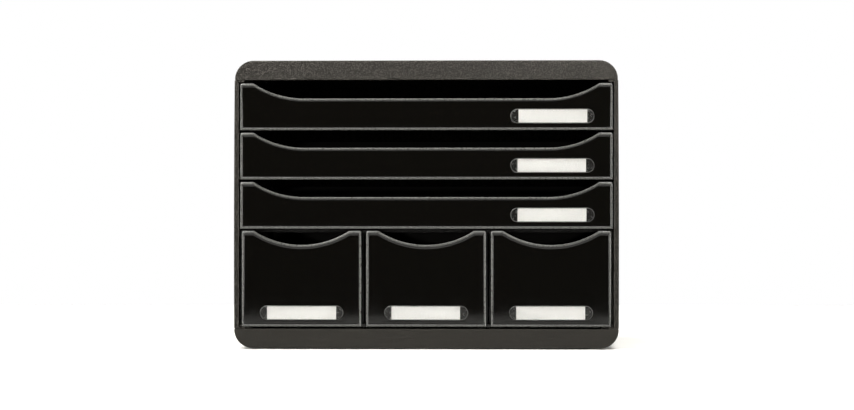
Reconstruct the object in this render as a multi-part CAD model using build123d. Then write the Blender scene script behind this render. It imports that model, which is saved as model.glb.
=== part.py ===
from build123d import *
from dataclasses import dataclass
import math
import os

# A desk drawer box of moulded plastic: three wide drawers over a row of three small ones.
# Millimetres. X runs to the right, the fronts face -Y and Z is up.
# The origin lies on the table under the middle of the box.

# Casing
unit_width = 355.0  # over the crown of the two side panels
unit_depth = 270.0
foot_stand = 1.0  # daylight between the table and the base
base_height = 17.8
cover_height = 17.95
cover_set_in = 1.0  # the cover is this much narrower than the crown, on each side
base_set_in = 0.15
shell_wall = 2.6
shell_edge_bevel = 0.9
seam_notch = 0.35  # half the height of the shadow groove where a panel meets the cover or the base
seam_depth = 0.8  # depth of that groove at the front and the rear
side_thickness = 4.6  # edge of a side panel seen from the front
side_skin = 2.2
skin_rib_count = 3
skin_rib_depth = 0.8  # clear of the stop lugs that slide past
crown_drop_high = 0.7  # how far the panel's outer face falls back at its top
crown_drop_low = 0.15
stop_frame_depth = 18.0  # thick front edge of a side panel, whose rear face stops the drawers
rear_frame_depth = 8.0
core_front_wall = 4.0  # the thick front edge is cored out from inside, one core for each drawer level
core_web = 2.0
flange_reach = 5.0
tongue_thickness = 2.0
tongue_height = 8.0
tongue_end_inset = 25.0
tongue_clearance = 0.4
catch_count = 3  # catches on each long rib that snap into windows in a tongue
catch_width = 11.0
catch_height = 2.4
catch_rise = 3.4  # from the seam to the catch's lower edge
catch_reach = 1.5
catch_clearance = 0.4
rib_thickness = 1.6
rib_depth = 6.0
cross_rib_count = 3

# Drawer fronts
wide_count = 3
small_count = 3
wide_front_height = 43.3
small_front_height = 88.65
row_gap = 1.75  # from the small fronts to the bottom wide front
wide_gap = 2.2  # between wide fronts
low_gap = 1.7  # from the base to the small fronts
high_gap = 3.05  # from the top wide front to the cover
low_flange_clearance = 0.4
high_flange_clearance = 1.0
wide_side_gap = 1.1
small_side_gap = 2.6
small_front_gap = 4.4
front_set_back = 0.5  # the bead's crest lies this far behind the cover's face
plate_thickness = 2.2
bead_height = 0.8
bead_bevel = 1.2
bead_crest = 0.6
bead_slope = 0.6
shoulder_slope = 2.6
wide_scoop_slope = 1.2
small_scoop_slope = 2.4
front_corner = 2.0
least_corner = 0.4
wide_shoulder = 12.6  # flat stretch at each end of a front's upper edge
small_shoulder = 11.5
wide_scoop_run = 46.7
wide_scoop_drop = 13.8
small_scoop_drop = 12.8

# Trays
tray_wall = 1.8
tray_floor = 1.8
tray_lift = 3.2  # from the front's lower edge to the tray's underside
tray_top_drop = 2.0
tray_back_gap = 1.8
tray_side_gap = 2.4
small_tray_set_in = 2.0
tray_corner = 4.0
tray_floor_bevel = 2.6
tray_draft = 0.8  # how far the walls lean in from the rim to the floor

# Runners and stops
skid_width = 3.0
skid_height = 1.0
skid_inset = 2.8
skid_end_inset = 8.0
skid_gap = 0.2
rail_spare = 1.8
rail_front_gap = 0.5
travel = 190.0
stop_slack = 0.3
lug_grip = 1.3
lug_length = 7.0
lug_flat = 2.5
lug_height = 8.0
lug_drop = 7.0
spring_slot_height = 1.2  # slots over and under a lug, which let it spring in
spring_slot_gap = 0.8
spring_slot_lead = 6.0
spring_slot_length = 28.0
stop_clearance = 0.8
stop_bead_depth = 4.0

# Shelf, partitions and back panel
shelf_thickness = 1.8
shelf_set_back = 14.0
shelf_clearance = 0.3
shelf_lip_depth = 2.0
shelf_lip_height = 1.4
ledge_thickness = 2.0
partition_wall = 2.0
partition_clearance = 0.15
socket_height = 14.5
guide_height = 3.0
guide_end_inset = 12.0
nose_side_gap = 0.3
nose_height = 2.7
back_thickness = 2.4
back_clearance = 0.2
back_lap = 3.0
back_lap_inset = 20.0
groove_depth = 2.0
back_field_margin = 14.0
back_field_depth = 0.6

# Feet
foot_radius = 8.0
foot_seat = 1.2
foot_clearance = 0.1
foot_bevel = 0.4
foot_inset_x = 32.0
foot_inset_y = 25.0

# Label holders
holder_width = 77.4
holder_height = 13.4
holder_rise = 13.0  # its middle over the front's lower edge
holder_depth = 1.2
holder_side = 55.5  # its middle from the right edge of a wide front
card_width = 64.1
card_height = 12.8
card_thickness = 0.25
card_play = 1.3
window_clearance = 0.1
window_proud = 0.25
snap_width = 1.6  # tabs at a window's ends that snap through slots in the plate
snap_height = 4.0
snap_inset = 3.2
snap_clearance = 0.1
snap_barb = 0.5
wide_card_shifts = [0.9, -1.1, -0.7]  # from the top drawer down
small_card_shifts = [0.0, -0.8, -0.6]  # from left to right

# Places that follow from the sizes
half_depth = unit_depth / 2
half_width = unit_width / 2
bay_half = half_width - side_thickness
skin_x = half_width - side_skin
stop_y = -half_depth + stop_frame_depth
crest_y = -half_depth + front_set_back
face_y = crest_y + bead_height
plate_y = face_y + plate_thickness
rail_y = plate_y + rail_front_gap
back_outer_y = half_depth - shell_wall - back_clearance
back_inner_y = back_outer_y - back_thickness
tray_rear_y = back_inner_y - tray_back_gap
base_floor_z = foot_stand + shell_wall
low_seam = foot_stand + base_height
small_bottom = low_seam + low_gap
shelf_top = small_bottom + small_front_height + row_gap
shelf_bottom = shelf_top - shelf_thickness
wide_pitch = wide_front_height + wide_gap
wide_bottoms = [shelf_top + level * wide_pitch for level in range(wide_count)]
high_seam = wide_bottoms[-1] + wide_front_height + high_gap
cover_top = high_seam + cover_height
wide_front_width = 2 * (bay_half - wide_side_gap)
small_gaps = 2 * small_side_gap + (small_count - 1) * small_front_gap
small_front_width = (2 * bay_half - small_gaps) / small_count
small_pitch = small_front_width + small_front_gap
small_centres = [(place - (small_count - 1) / 2) * small_pitch for place in range(small_count)]
partition_xs = [(left + right) / 2 for left, right in zip(small_centres, small_centres[1:])]
wide_tray_half = bay_half - tray_side_gap
small_tray_half = small_front_width / 2 - small_tray_set_in
small_tray_gap = small_side_gap + small_tray_set_in
partition_tray_gap = small_front_gap / 2 + small_tray_set_in
rail_thickness = tray_lift - skid_height - skid_gap
rail_under_skid = skid_inset + skid_width / 2 + rail_spare
lug_y = stop_y + travel + stop_slack
stop_reach = small_tray_gap - stop_clearance
ledge_y = -half_depth + shelf_set_back


@dataclass
class DrawerPlan:
    """Where one drawer sits, how its front is cut and what its label holds."""

    name: str
    centre_x: float
    bottom_z: float
    width: float
    height: float
    tray_half: float
    shoulder: float
    scoop_run: float
    scoop_drop: float
    scoop_slope: float
    lug_reach: float
    holder_x: float
    card_shift: float


def slab(x_low, x_high, y_low, y_high, z_low, z_high):
    """Block between two corners."""
    middle = Pos((x_low + x_high) / 2, (y_low + y_high) / 2, (z_low + z_high) / 2)
    return middle * Box(x_high - x_low, y_high - y_low, z_high - z_low)


def both_sides(shape):
    """A shape on the right and its mirror image on the left."""
    return shape + mirror(shape, about=Plane.YZ)


def arch_block(half_x, half_y, height, radius):
    """Block on the plane z = 0 whose two long upper edges are rounded."""
    section = Rectangle(2 * half_x, height, align=(Align.CENTER, Align.MIN))
    section = fillet(section.vertices().group_by(Axis.Y)[-1], radius)
    return extrude(Plane.XZ * section, amount=half_y, both=True)


def tongue_face(half_x, height):
    """Outer face of a side panel's tongue, just inside the rounded wall of a shell."""
    inner_radius = height - seam_notch * 2 - shell_wall
    centre_x = half_x - shell_wall - inner_radius
    rise = tongue_height - seam_notch * 2
    return centre_x + math.sqrt(inner_radius**2 - rise**2) - tongue_clearance


def shell(half_x, height):
    """Hollow end moulding, seam side down on z = 0, with ribs and tongue catches inside."""
    radius = height - seam_notch * 2
    outer = Pos(0, 0, seam_notch) * arch_block(half_x, half_depth, height - seam_notch, radius)
    ends = outer.faces().sort_by(Axis.Y)
    rim = ShapeList(edge for face in (ends[0], ends[-1]) for edge in face.edges())
    rim = rim.filter_by(lambda edge: edge.center().Z > 2 * seam_notch)
    outer = chamfer(rim, shell_edge_bevel)
    land_x = half_x - seam_notch
    land_y = half_depth - seam_depth
    outer += slab(-land_x, land_x, -land_y, land_y, 0, seam_notch * 2)
    inner_y = half_depth - shell_wall
    hollow = arch_block(half_x - shell_wall, inner_y, height - shell_wall, radius - shell_wall)
    ribs = shell_ribs(half_x, height, inner_y)
    return outer - hollow + (ribs & outer)


def catch_places():
    """Middles along Y of the catches of one tongue."""
    pitch = (unit_depth - 2 * tongue_end_inset) / catch_count
    return [(place - (catch_count - 1) / 2) * pitch for place in range(catch_count)]


def shell_ribs(half_x, height, inner_y):
    """Cross ribs under the shell's flat wall, and a long rib with catches inside each tongue."""
    rib_low = height - shell_wall - rib_depth
    root = height - shell_wall / 2
    rib_out = tongue_face(half_x, height) - tongue_thickness - tongue_clearance
    rib_in = rib_out - rib_thickness
    long_rib = slab(rib_in, rib_out, -inner_y - 1, inner_y + 1, seam_notch, root)
    for y in catch_places():
        low_y = y - catch_width / 2
        catch_out = rib_out + catch_reach
        long_rib += slab(rib_in, catch_out, low_y, low_y + catch_width, catch_rise, catch_rise + catch_height)
    ribs = both_sides(long_rib)
    for place in range(cross_rib_count):
        y = (place - (cross_rib_count - 1) / 2) * unit_depth / cross_rib_count
        edge = y - rib_thickness / 2
        ribs += slab(-rib_in, rib_in, edge, edge + rib_thickness, rib_low, root)
    return ribs


def top_cover():
    """Shallow hood with rounded long edges, grained outside and ribbed inside."""
    return Pos(0, 0, high_seam) * shell(half_width - cover_set_in, cover_height)


def foot_places():
    """Middles of the four feet: front left, front right, rear left and rear right."""
    x = half_width - foot_inset_x
    y = half_depth - foot_inset_y
    return [(-x, -y), (x, -y), (-x, y), (x, y)]


def base():
    """The hood turned over, with sockets for the partitions and seats for the feet."""
    tub = mirror(shell(half_width - base_set_in, base_height), about=Plane.XY)
    tub = Pos(0, 0, low_seam) * tub
    socket_in = partition_wall / 2 + partition_clearance
    socket_out = socket_in + rib_thickness
    socket_top = base_floor_z + socket_height
    socket_y = back_inner_y - guide_end_inset
    slot = slab(-socket_in, socket_in, -socket_y, socket_y, base_floor_z, socket_top + 1)
    for x in partition_xs:
        wall = slab(-socket_out, socket_out, -socket_y, socket_y, base_floor_z - 1, socket_top)
        tub += Pos(x, 0, 0) * wall
        tub -= Pos(x, 0, 0) * slot
        tub -= slab(x - socket_in, x + socket_in, -socket_y, back_inner_y, base_floor_z, low_seam)
    for x, y in foot_places():
        seat = extrude(Plane.XY.offset(foot_stand) * Circle(foot_radius + foot_clearance), amount=foot_seat)
        tub -= Pos(x, y, 0) * seat
    return tub


def side_outline():
    """Front view of the right panel: flat inside, crowned outside, widest below the middle."""
    high_x = half_width - crown_drop_high
    low_x = half_width - crown_drop_low
    low_z = low_seam + seam_notch
    high_z = high_seam - seam_notch
    crown_share = math.sqrt(crown_drop_low) / (math.sqrt(crown_drop_low) + math.sqrt(crown_drop_high))
    crown_z = low_z + crown_share * (high_z - low_z)
    crown = ThreePointArc((low_x, low_z), (half_width, crown_z), (high_x, high_z))
    rest = Polyline((high_x, high_z), (bay_half, high_z), (bay_half, low_z), (low_x, low_z))
    return make_face([crown, rest])


def drawer_levels():
    """Heights between which each level of drawers runs, from the bottom up."""
    floors = [small_bottom] + wide_bottoms
    ceilings = [shelf_bottom - ledge_thickness] + wide_bottoms[1:] + [high_seam - high_gap]
    return list(zip(floors, ceilings))


def right_side_panel():
    """Crowned wall with runners, a shelf ledge, stops, and tongues for the cover and base."""
    panel = extrude(Plane.XZ * side_outline(), amount=half_depth, both=True)
    land_x = half_width - crown_drop_high - seam_notch
    land_y = half_depth - seam_depth
    panel += slab(bay_half, land_x, -land_y, land_y, low_seam, high_seam)
    pocket_y = half_depth - rear_frame_depth
    panel -= slab(bay_half, skin_x, stop_y, pocket_y, small_bottom, high_seam - high_gap)
    core_y = core_front_wall - half_depth
    core_end = stop_y - stop_bead_depth
    for floor, ceiling in drawer_levels():
        core_low = floor + rail_thickness + core_web
        panel -= slab(bay_half, skin_x, core_y, core_end, core_low, ceiling - core_web)
    for place in range(skin_rib_count):
        y = stop_y + (place + 1) * (pocket_y - stop_y) / (skin_rib_count + 1)
        rib_x = skin_x - skin_rib_depth
        panel += slab(rib_x, skin_x, y, y + rib_thickness, small_bottom, high_seam - high_gap)
    low_flange = low_gap - low_flange_clearance
    high_flange = high_gap - high_flange_clearance
    flange_x = bay_half - flange_reach
    panel += slab(flange_x, bay_half, -land_y, land_y, low_seam, low_seam + low_flange)
    panel += slab(flange_x, bay_half, -land_y, land_y, high_seam - high_flange, high_seam)
    panel += side_tongue(half_width - cover_set_in, cover_height, high_seam, 1)
    panel += side_tongue(half_width - base_set_in, base_height, low_seam, -1)
    wide_rail_x = bay_half - tray_side_gap - rail_under_skid
    for z in wide_bottoms:
        panel += slab(wide_rail_x, skin_x, rail_y, pocket_y, z, z + rail_thickness)
    small_rail_x = bay_half - small_tray_gap - rail_under_skid
    panel += slab(small_rail_x, skin_x, rail_y, pocket_y, low_seam, small_bottom + rail_thickness)
    stop_x = bay_half - stop_reach
    ledge_low = shelf_bottom - ledge_thickness
    panel += slab(stop_x, skin_x, ledge_y, pocket_y, ledge_low, shelf_bottom)
    panel += slab(stop_x, skin_x, stop_y - stop_bead_depth, stop_y, small_bottom, ledge_low)
    groove_y = back_inner_y - back_clearance
    groove_end = back_outer_y + back_clearance
    groove_x = bay_half + groove_depth
    return panel - slab(flange_x - 1, groove_x, groove_y, groove_end, low_seam, high_seam)


def side_tongue(half_x, height, seam_z, up):
    """Strip that stands out of a side panel into the cover (up = 1) or the base (up = -1)."""
    outer_x = tongue_face(half_x, height)
    inner_x = outer_x - tongue_thickness
    end_y = half_depth - tongue_end_inset
    z_low, z_high = sorted((seam_z, seam_z + up * tongue_height))
    tongue = slab(inner_x, outer_x, -end_y, end_y, z_low, z_high)
    near = seam_z + up * (catch_rise - catch_clearance)
    far = seam_z + up * (catch_rise + catch_height + catch_clearance)
    window_low, window_high = sorted((near, far))
    reach = catch_width / 2 + catch_clearance
    for y in catch_places():
        tongue -= slab(inner_x, outer_x, y - reach, y + reach, window_low, window_high)
    return tongue


def left_side_panel():
    """Mirror image of the right panel."""
    return mirror(right_side_panel(), about=Plane.YZ)


def back_panel():
    """Flat wall in the side panels' grooves, lapped inside the cover and the base."""
    edge_x = bay_half + groove_depth - back_clearance
    panel = slab(-edge_x, edge_x, back_inner_y, back_outer_y, low_seam, high_seam)
    lap_x = half_width - back_lap_inset
    lap_low = low_seam - back_lap
    panel += slab(-lap_x, lap_x, back_inner_y, back_outer_y, lap_low, high_seam + back_lap)
    field_x = bay_half - back_field_margin
    field_low = low_seam + back_field_margin
    field_high = high_seam - back_field_margin
    field_y = back_outer_y - back_field_depth
    return panel - slab(-field_x, field_x, field_y, back_outer_y, field_low, field_high)


def middle_shelf():
    """Shelf between the small and the wide drawers, with guides for the partitions and a notched lip."""
    edge_x = bay_half - shelf_clearance
    shelf = slab(-edge_x, edge_x, ledge_y, back_inner_y - shelf_clearance, shelf_bottom, shelf_top)
    guide_in = partition_wall / 2 + partition_clearance
    guide_out = guide_in + rib_thickness
    guide_y = back_inner_y - guide_end_inset
    guide_low = shelf_bottom - guide_height
    guide = slab(guide_in, guide_out, -guide_y, guide_y, guide_low, shelf_bottom)
    for x in partition_xs:
        shelf += Pos(x, 0, 0) * both_sides(guide)
    lip_x = bay_half - stop_reach - shelf_clearance
    lip_y = ledge_y + shelf_lip_depth
    lip_low = shelf_bottom - shelf_lip_height
    lip = slab(-lip_x, lip_x, ledge_y, lip_y, lip_low, shelf_bottom)
    for x in partition_xs:
        lip -= slab(x - guide_in, x + guide_in, ledge_y, lip_y, lip_low, shelf_bottom)
    return shelf + lip


def partition(x):
    """Upright wall between two small drawers, with their runners, stops and a front nose."""
    half_wall = partition_wall / 2
    rear_y = back_inner_y - shelf_clearance
    web_top = shelf_bottom - shelf_clearance
    front_y = stop_y - stop_bead_depth
    foot_y = back_inner_y - guide_end_inset - partition_clearance
    wall = slab(-half_wall, half_wall, front_y, rear_y, low_seam, web_top)
    wall += slab(-half_wall, half_wall, -foot_y, foot_y, base_floor_z, low_seam)
    rail_x = partition_tray_gap + rail_under_skid
    rail_top = small_bottom + rail_thickness
    wall += slab(-rail_x, rail_x, rail_y, rear_y, small_bottom, rail_top)
    stop_x = partition_tray_gap - stop_clearance
    stop_top = shelf_bottom - guide_height - shelf_clearance
    wall += slab(-stop_x, stop_x, front_y, stop_y, small_bottom, stop_top)
    nose_x = small_front_gap / 2 - nose_side_gap
    wall += slab(-nose_x, nose_x, crest_y + bead_height / 2, rail_y, small_bottom, small_bottom + nose_height)
    return Pos(x, 0, 0) * wall


def foot():
    """Round rubber foot that sits in its seat under the base."""
    disc = Cylinder(foot_radius, foot_stand + foot_seat, align=(Align.CENTER, Align.CENTER, Align.MIN))
    return chamfer(disc.edges().group_by(Axis.Z)[0], foot_bevel)


def front_face(plan, side, shoulder, scoop):
    """Outline of a front, drawn in by its own amount at the sides, shoulders and scoop."""
    half = plan.width / 2 - side
    top = plan.height - shoulder
    corner = max(front_corner - side, least_corner)
    first_radius = (plan.scoop_run**2 + plan.scoop_drop**2) / (2 * plan.scoop_drop)
    radius = first_radius + scoop
    centre_x = plan.width / 2 - plan.shoulder - plan.scoop_run
    centre_z = plan.height - plan.scoop_drop + first_radius
    knee_x = centre_x + math.sqrt(radius**2 - (centre_z - top) ** 2)
    floor_z = centre_z - radius
    middle_angle = (math.atan2(top - centre_z, knee_x - centre_x) - math.pi / 2) / 2
    middle_x = centre_x + radius * math.cos(middle_angle)
    middle_z = centre_z + radius * math.sin(middle_angle)
    bend = corner * (1 - math.sqrt(0.5))
    edges = [
        Line((-half, side), (half, side)),
        Line((half, side), (half, top - corner)),
        ThreePointArc((half, top - corner), (half - bend, top - bend), (half - corner, top)),
        Line((half - corner, top), (knee_x, top)),
        ThreePointArc((knee_x, top), (middle_x, middle_z), (centre_x, floor_z)),
    ]
    if centre_x > least_corner:
        edges.append(Line((centre_x, floor_z), (-centre_x, floor_z)))
    edges += [
        ThreePointArc((-centre_x, floor_z), (-middle_x, middle_z), (-knee_x, top)),
        Line((-knee_x, top), (corner - half, top)),
        ThreePointArc((corner - half, top), (bend - half, top - bend), (-half, top - corner)),
        Line((-half, top - corner), (-half, side)),
    ]
    return make_face(edges)


def drawer_front(plan):
    """Front plate with a raised bead round it, a finger scoop and a recess for the label."""
    bevel_y = crest_y + bead_bevel
    crest_in = bead_bevel + bead_crest
    whole = front_face(plan, 0, 0, 0)
    bevelled = front_face(plan, bead_bevel, bead_bevel, bead_bevel)
    crest = front_face(plan, crest_in, crest_in, crest_in)
    scoop_in = crest_in + plan.scoop_slope
    field = front_face(plan, crest_in + bead_slope, crest_in + shoulder_slope, scoop_in)
    plate = extrude(Plane.XZ.offset(-plate_y) * whole, amount=plate_y - bevel_y)
    cap = loft([Plane.XZ.offset(-bevel_y) * whole, Plane.XZ.offset(-crest_y) * bevelled], ruled=True)
    pocket = loft([Plane.XZ.offset(-crest_y) * crest, Plane.XZ.offset(-face_y) * field], ruled=True)
    recess = Pos(plan.holder_x, holder_rise) * SlotOverall(holder_width, holder_height)
    front = plate + cap - pocket
    front -= extrude(Plane.XZ.offset(-face_y) * recess, amount=-holder_depth)
    slot_half = snap_width / 2 + snap_clearance
    slot_rise = snap_height / 2 + snap_clearance
    for x in snap_places(plan):
        z = holder_rise
        front -= slab(x - slot_half, x + slot_half, face_y, plate_y, z - slot_rise, z + slot_rise)
    return front


def snap_places(plan):
    """Places along a front of the two tabs that hold its label window."""
    reach = holder_width / 2 - snap_inset
    return [plan.holder_x - reach, plan.holder_x + reach]


def tray_plan(plan, z, set_in, front_set_in):
    """Plan of a tray at height z, set in from its outer face, which leans in towards the floor."""
    rim_z = plan.height - tray_top_drop
    lean = tray_draft * (rim_z - z) / (rim_z - tray_lift)
    half = plan.tray_half - lean - set_in
    front_y = plate_y + front_set_in
    rear_y = tray_rear_y - lean - set_in
    outline = Pos(0, (front_y + rear_y) / 2) * Rectangle(2 * half, rear_y - front_y)
    corner = max(tray_corner - set_in, tray_wall)
    outline = fillet(outline.vertices().group_by(Axis.Y)[-1], corner)
    return Plane.XY.offset(z) * outline


def tray(plan):
    """Open box behind a front, drafted, with a bevelled floor, skids below and stop lugs."""
    low = tray_lift
    high = plan.height - tray_top_drop
    half = plan.tray_half
    outer = loft([tray_plan(plan, low, 0, 0), tray_plan(plan, high, 0, 0)], ruled=True)
    floor = low + tray_floor
    bevel_in = tray_wall + tray_floor_bevel
    sections = [
        tray_plan(plan, floor, bevel_in, tray_floor_bevel),
        tray_plan(plan, floor + tray_floor_bevel, tray_wall, 0),
        tray_plan(plan, high + tray_wall, tray_wall, 0),
    ]
    box = outer - loft(sections, ruled=True)
    skid_x = half - skid_inset
    skid_end = tray_rear_y - skid_end_inset
    skid_low = low - skid_height
    skid = slab(skid_x - skid_width / 2, skid_x + skid_width / 2, -skid_end, skid_end, skid_low, low)
    box += both_sides(skid) + both_sides(stop_lug(plan))
    return box - both_sides(spring_slots(plan))


def stop_lug(plan):
    """Ramped lug on the right wall of a tray, square to the stop in front."""
    root_x = plan.tray_half - tray_draft
    out_x = plan.tray_half + plan.lug_reach
    corners = [(root_x, lug_y), (out_x, lug_y), (out_x, lug_y + lug_flat), (root_x, lug_y + lug_length)]
    outline = make_face(Polyline(*corners, close=True))
    lug_top = plan.height - tray_top_drop - lug_drop
    return extrude(Plane.XY.offset(lug_top - lug_height) * outline, amount=lug_height)


def spring_slots(plan):
    """Slots through the right wall over and under its lug."""
    lug_top = plan.height - tray_top_drop - lug_drop
    inner_x = plan.tray_half - tray_draft - tray_wall
    start_y = lug_y - spring_slot_lead
    end_y = start_y + spring_slot_length
    over = lug_top + spring_slot_gap
    under = lug_top - lug_height - spring_slot_gap - spring_slot_height
    slots = slab(inner_x, plan.tray_half, start_y, end_y, over, over + spring_slot_height)
    return slots + slab(inner_x, plan.tray_half, start_y, end_y, under, under + spring_slot_height)


def drawer(plan):
    """One moulded drawer: front, tray, skids and lugs in one piece."""
    return Pos(plan.centre_x, 0, plan.bottom_z) * (drawer_front(plan) + tray(plan))


def label_card(plan):
    """Paper strip at the bottom of the label recess."""
    x = plan.centre_x + plan.holder_x + plan.card_shift
    z = plan.bottom_z + holder_rise
    back_y = face_y + holder_depth
    front_y = back_y - card_thickness
    half = card_width / 2
    return slab(x - half, x + half, front_y, back_y, z - card_height / 2, z + card_height / 2)


def label_window(plan):
    """Clear cover over the card, with a pocket for it and two barbed tabs through the plate."""
    back_y = face_y + holder_depth
    front_y = face_y - window_proud
    outline = SlotOverall(holder_width - 2 * window_clearance, holder_height - 2 * window_clearance)
    window = extrude(Plane.XZ.offset(-back_y) * outline, amount=back_y - front_y)
    pocket_x = card_width / 2 + card_play
    pocket_z = holder_height / 2
    pocket_y = back_y - card_thickness
    window -= slab(-pocket_x, pocket_x, pocket_y, back_y, -pocket_z, pocket_z)
    barb_y = plate_y + snap_clearance
    tab_in = holder_width / 2 - snap_inset - snap_width / 2
    tab_out = tab_in + snap_width
    rise = snap_height / 2
    tab = slab(tab_in, tab_out, pocket_y, barb_y + snap_barb, -rise, rise)
    tab += slab(tab_in, tab_out + snap_barb, barb_y, barb_y + snap_barb, -rise, rise)
    window += both_sides(tab)
    return Pos(plan.centre_x + plan.holder_x, 0, plan.bottom_z + holder_rise) * window


def wide_plans():
    """The wide drawers, from the top one down."""
    names = ["top", "middle", "bottom"]
    plans = []
    for name, bottom_z, shift in zip(names, reversed(wide_bottoms), wide_card_shifts):
        plans.append(
            DrawerPlan(
                name=f"{name}_wide",
                centre_x=0.0,
                bottom_z=bottom_z,
                width=wide_front_width,
                height=wide_front_height,
                tray_half=wide_tray_half,
                shoulder=wide_shoulder,
                scoop_run=wide_scoop_run,
                scoop_drop=wide_scoop_drop,
                scoop_slope=wide_scoop_slope,
                lug_reach=tray_side_gap + lug_grip,
                holder_x=wide_front_width / 2 - holder_side,
                card_shift=shift,
            )
        )
    return plans


def small_plans():
    """The small drawers, from left to right."""
    names = ["left", "centre", "right"]
    plans = []
    for name, centre_x, shift in zip(names, small_centres, small_card_shifts):
        plans.append(
            DrawerPlan(
                name=f"{name}_small",
                centre_x=centre_x,
                bottom_z=small_bottom,
                width=small_front_width,
                height=small_front_height,
                tray_half=small_tray_half,
                shoulder=small_shoulder,
                scoop_run=small_front_width / 2 - small_shoulder,
                scoop_drop=small_scoop_drop,
                scoop_slope=small_scoop_slope,
                lug_reach=stop_clearance + lug_grip,
                holder_x=0.0,
                card_shift=shift,
            )
        )
    return plans


def all_pieces():
    """Every piece of the drawer box by its name."""
    pieces = {
        "top_cover": top_cover(),
        "base": base(),
        "right_side_panel": right_side_panel(),
        "left_side_panel": left_side_panel(),
        "back_panel": back_panel(),
        "middle_shelf": middle_shelf(),
    }
    for name, x in zip(["left_partition", "right_partition"], partition_xs):
        pieces[name] = partition(x)
    foot_names = ["front_left_foot", "front_right_foot", "rear_left_foot", "rear_right_foot"]
    for name, (x, y) in zip(foot_names, foot_places()):
        pieces[name] = Pos(x, y, 0) * foot()
    for plan in wide_plans() + small_plans():
        pieces[f"{plan.name}_drawer"] = drawer(plan)
        pieces[f"{plan.name}_label_card"] = label_card(plan)
        pieces[f"{plan.name}_label_window"] = label_window(plan)
    return pieces


os.makedirs("parts", exist_ok=True)
for piece_name, piece in all_pieces().items():
    piece.label = piece_name
    export_step(piece, f"parts/{piece_name}.step")
    print(f"{piece_name}: {piece.volume:.0f} mm3")
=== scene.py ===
"""Looks of a desktop drawer box of moulded plastic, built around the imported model.

Lengths are metres in the model's frame: X runs to the right, the fronts face -Y, Z is up.
Each sub-assembly is a class that works out its surfaces as arrays and dresses them.
"""

import logging
import math
from dataclasses import dataclass
from enum import Enum
from typing import Sequence

import bmesh
import bpy
import numpy as np
from bpy.types import Material, Node, NodeSocket, NodeTree
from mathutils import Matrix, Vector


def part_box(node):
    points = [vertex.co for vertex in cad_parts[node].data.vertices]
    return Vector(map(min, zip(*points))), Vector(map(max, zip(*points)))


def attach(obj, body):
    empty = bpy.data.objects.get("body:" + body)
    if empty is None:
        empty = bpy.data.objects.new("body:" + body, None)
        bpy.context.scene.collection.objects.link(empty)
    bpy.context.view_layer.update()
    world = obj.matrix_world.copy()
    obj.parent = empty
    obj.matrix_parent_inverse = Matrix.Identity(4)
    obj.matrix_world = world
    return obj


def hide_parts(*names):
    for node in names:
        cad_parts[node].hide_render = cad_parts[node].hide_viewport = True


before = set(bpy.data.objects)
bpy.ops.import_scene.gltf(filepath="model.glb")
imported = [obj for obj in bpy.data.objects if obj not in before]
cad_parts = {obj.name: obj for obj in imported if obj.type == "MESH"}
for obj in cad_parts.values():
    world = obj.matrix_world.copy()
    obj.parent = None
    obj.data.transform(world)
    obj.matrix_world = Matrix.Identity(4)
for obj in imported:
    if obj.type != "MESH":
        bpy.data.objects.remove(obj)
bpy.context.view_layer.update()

MM = 0.001
MERGE_DISTANCE = 1e-6
CRISP_DEGREES = 40
Point = tuple[float, float, float]
Colour = tuple[float, float, float]
Source = NodeSocket | Colour | float
log = logging.getLogger("drawer_box")


class Zone(Enum):
    """Which finish of a piece a face takes."""

    MAIN = 0
    RIM = 1
    EDGE = 2


class Slot(Enum):
    """Material slots of the record."""

    CASING = "casing_plastic"
    DRAWER = "drawer_plastic"
    WINDOW = "label_window"
    CARD = "label_card"
    RUBBER = "foot_rubber"


class Side(Enum):
    """Left or right, as the sign of X."""

    LEFT = -1
    RIGHT = 1


def sweep(start: float, end: float, steps: int) -> np.ndarray:
    """Evenly spaced angles in radians, from a first to a last one given in degrees."""
    return np.radians(np.linspace(start, end, steps + 1))


def rounded_rectangle(
    low: Sequence[float], high: Sequence[float], radii: Sequence[float], steps: int
) -> np.ndarray:
    """Closed outline of a rectangle whose corners are quarter circles.

    Each corner's points are its circle's middle plus the radius times (cos, sin) of
    angles that run through its quarter turn, counter-clockwise from the lower right.

    Args:
        low: Lowest corner, two coordinates.
        high: Highest corner, two coordinates.
        radii: Corner radii: lower right, upper right, upper left, lower left.
        steps: Steps in each quarter circle.

    Returns:
        Points as an array of shape (4 * (steps + 1), 2).
    """
    signs = np.array([(1, -1), (1, 1), (-1, 1), (-1, -1)])
    corners = np.where(signs > 0, np.asarray(high), np.asarray(low))
    middles = corners - signs * np.asarray(radii)[:, None]
    angles = np.stack([sweep(start, start + 90, steps) for start in (-90, 0, 90, 180)])
    circle = np.stack([np.cos(angles), np.sin(angles)], axis=-1)
    points = middles[:, None, :] + circle * np.asarray(radii)[:, None, None]
    return points.reshape(-1, 2)


def stadium(half_length: float, radius: float, steps: int) -> np.ndarray:
    """Closed outline of a strip with half round ends.

    The right end is a half circle about (half_length - radius, 0), starting at its
    rightmost point, and the left end is its mirror image.

    Args:
        half_length: Half the strip's overall length.
        radius: Half its width.
        steps: Steps in a quarter circle.

    Returns:
        Points counter-clockwise from the rightmost one.
    """
    reach = half_length - radius
    quarter = sweep(0, 90, steps)
    angles = np.concatenate([quarter, quarter + np.pi / 2, quarter + np.pi, quarter + 1.5 * np.pi])
    shift = np.repeat([reach, -reach, -reach, reach], steps + 1)
    points = np.stack([radius * np.cos(angles) + shift, radius * np.sin(angles)], axis=-1)
    keep = np.ones(len(points), bool)
    keep[[2 * (steps + 1), len(points) - 1]] = False
    return points[keep]


def arc(x: float, y: float, radius: float, start: float, end: float, steps: int) -> np.ndarray:
    """Points of an arc: its middle (x, y) plus the radius times (cos, sin) of even angles."""
    angles = sweep(start, end, steps)
    return np.column_stack([x + radius * np.cos(angles), y + radius * np.sin(angles)])


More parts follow.
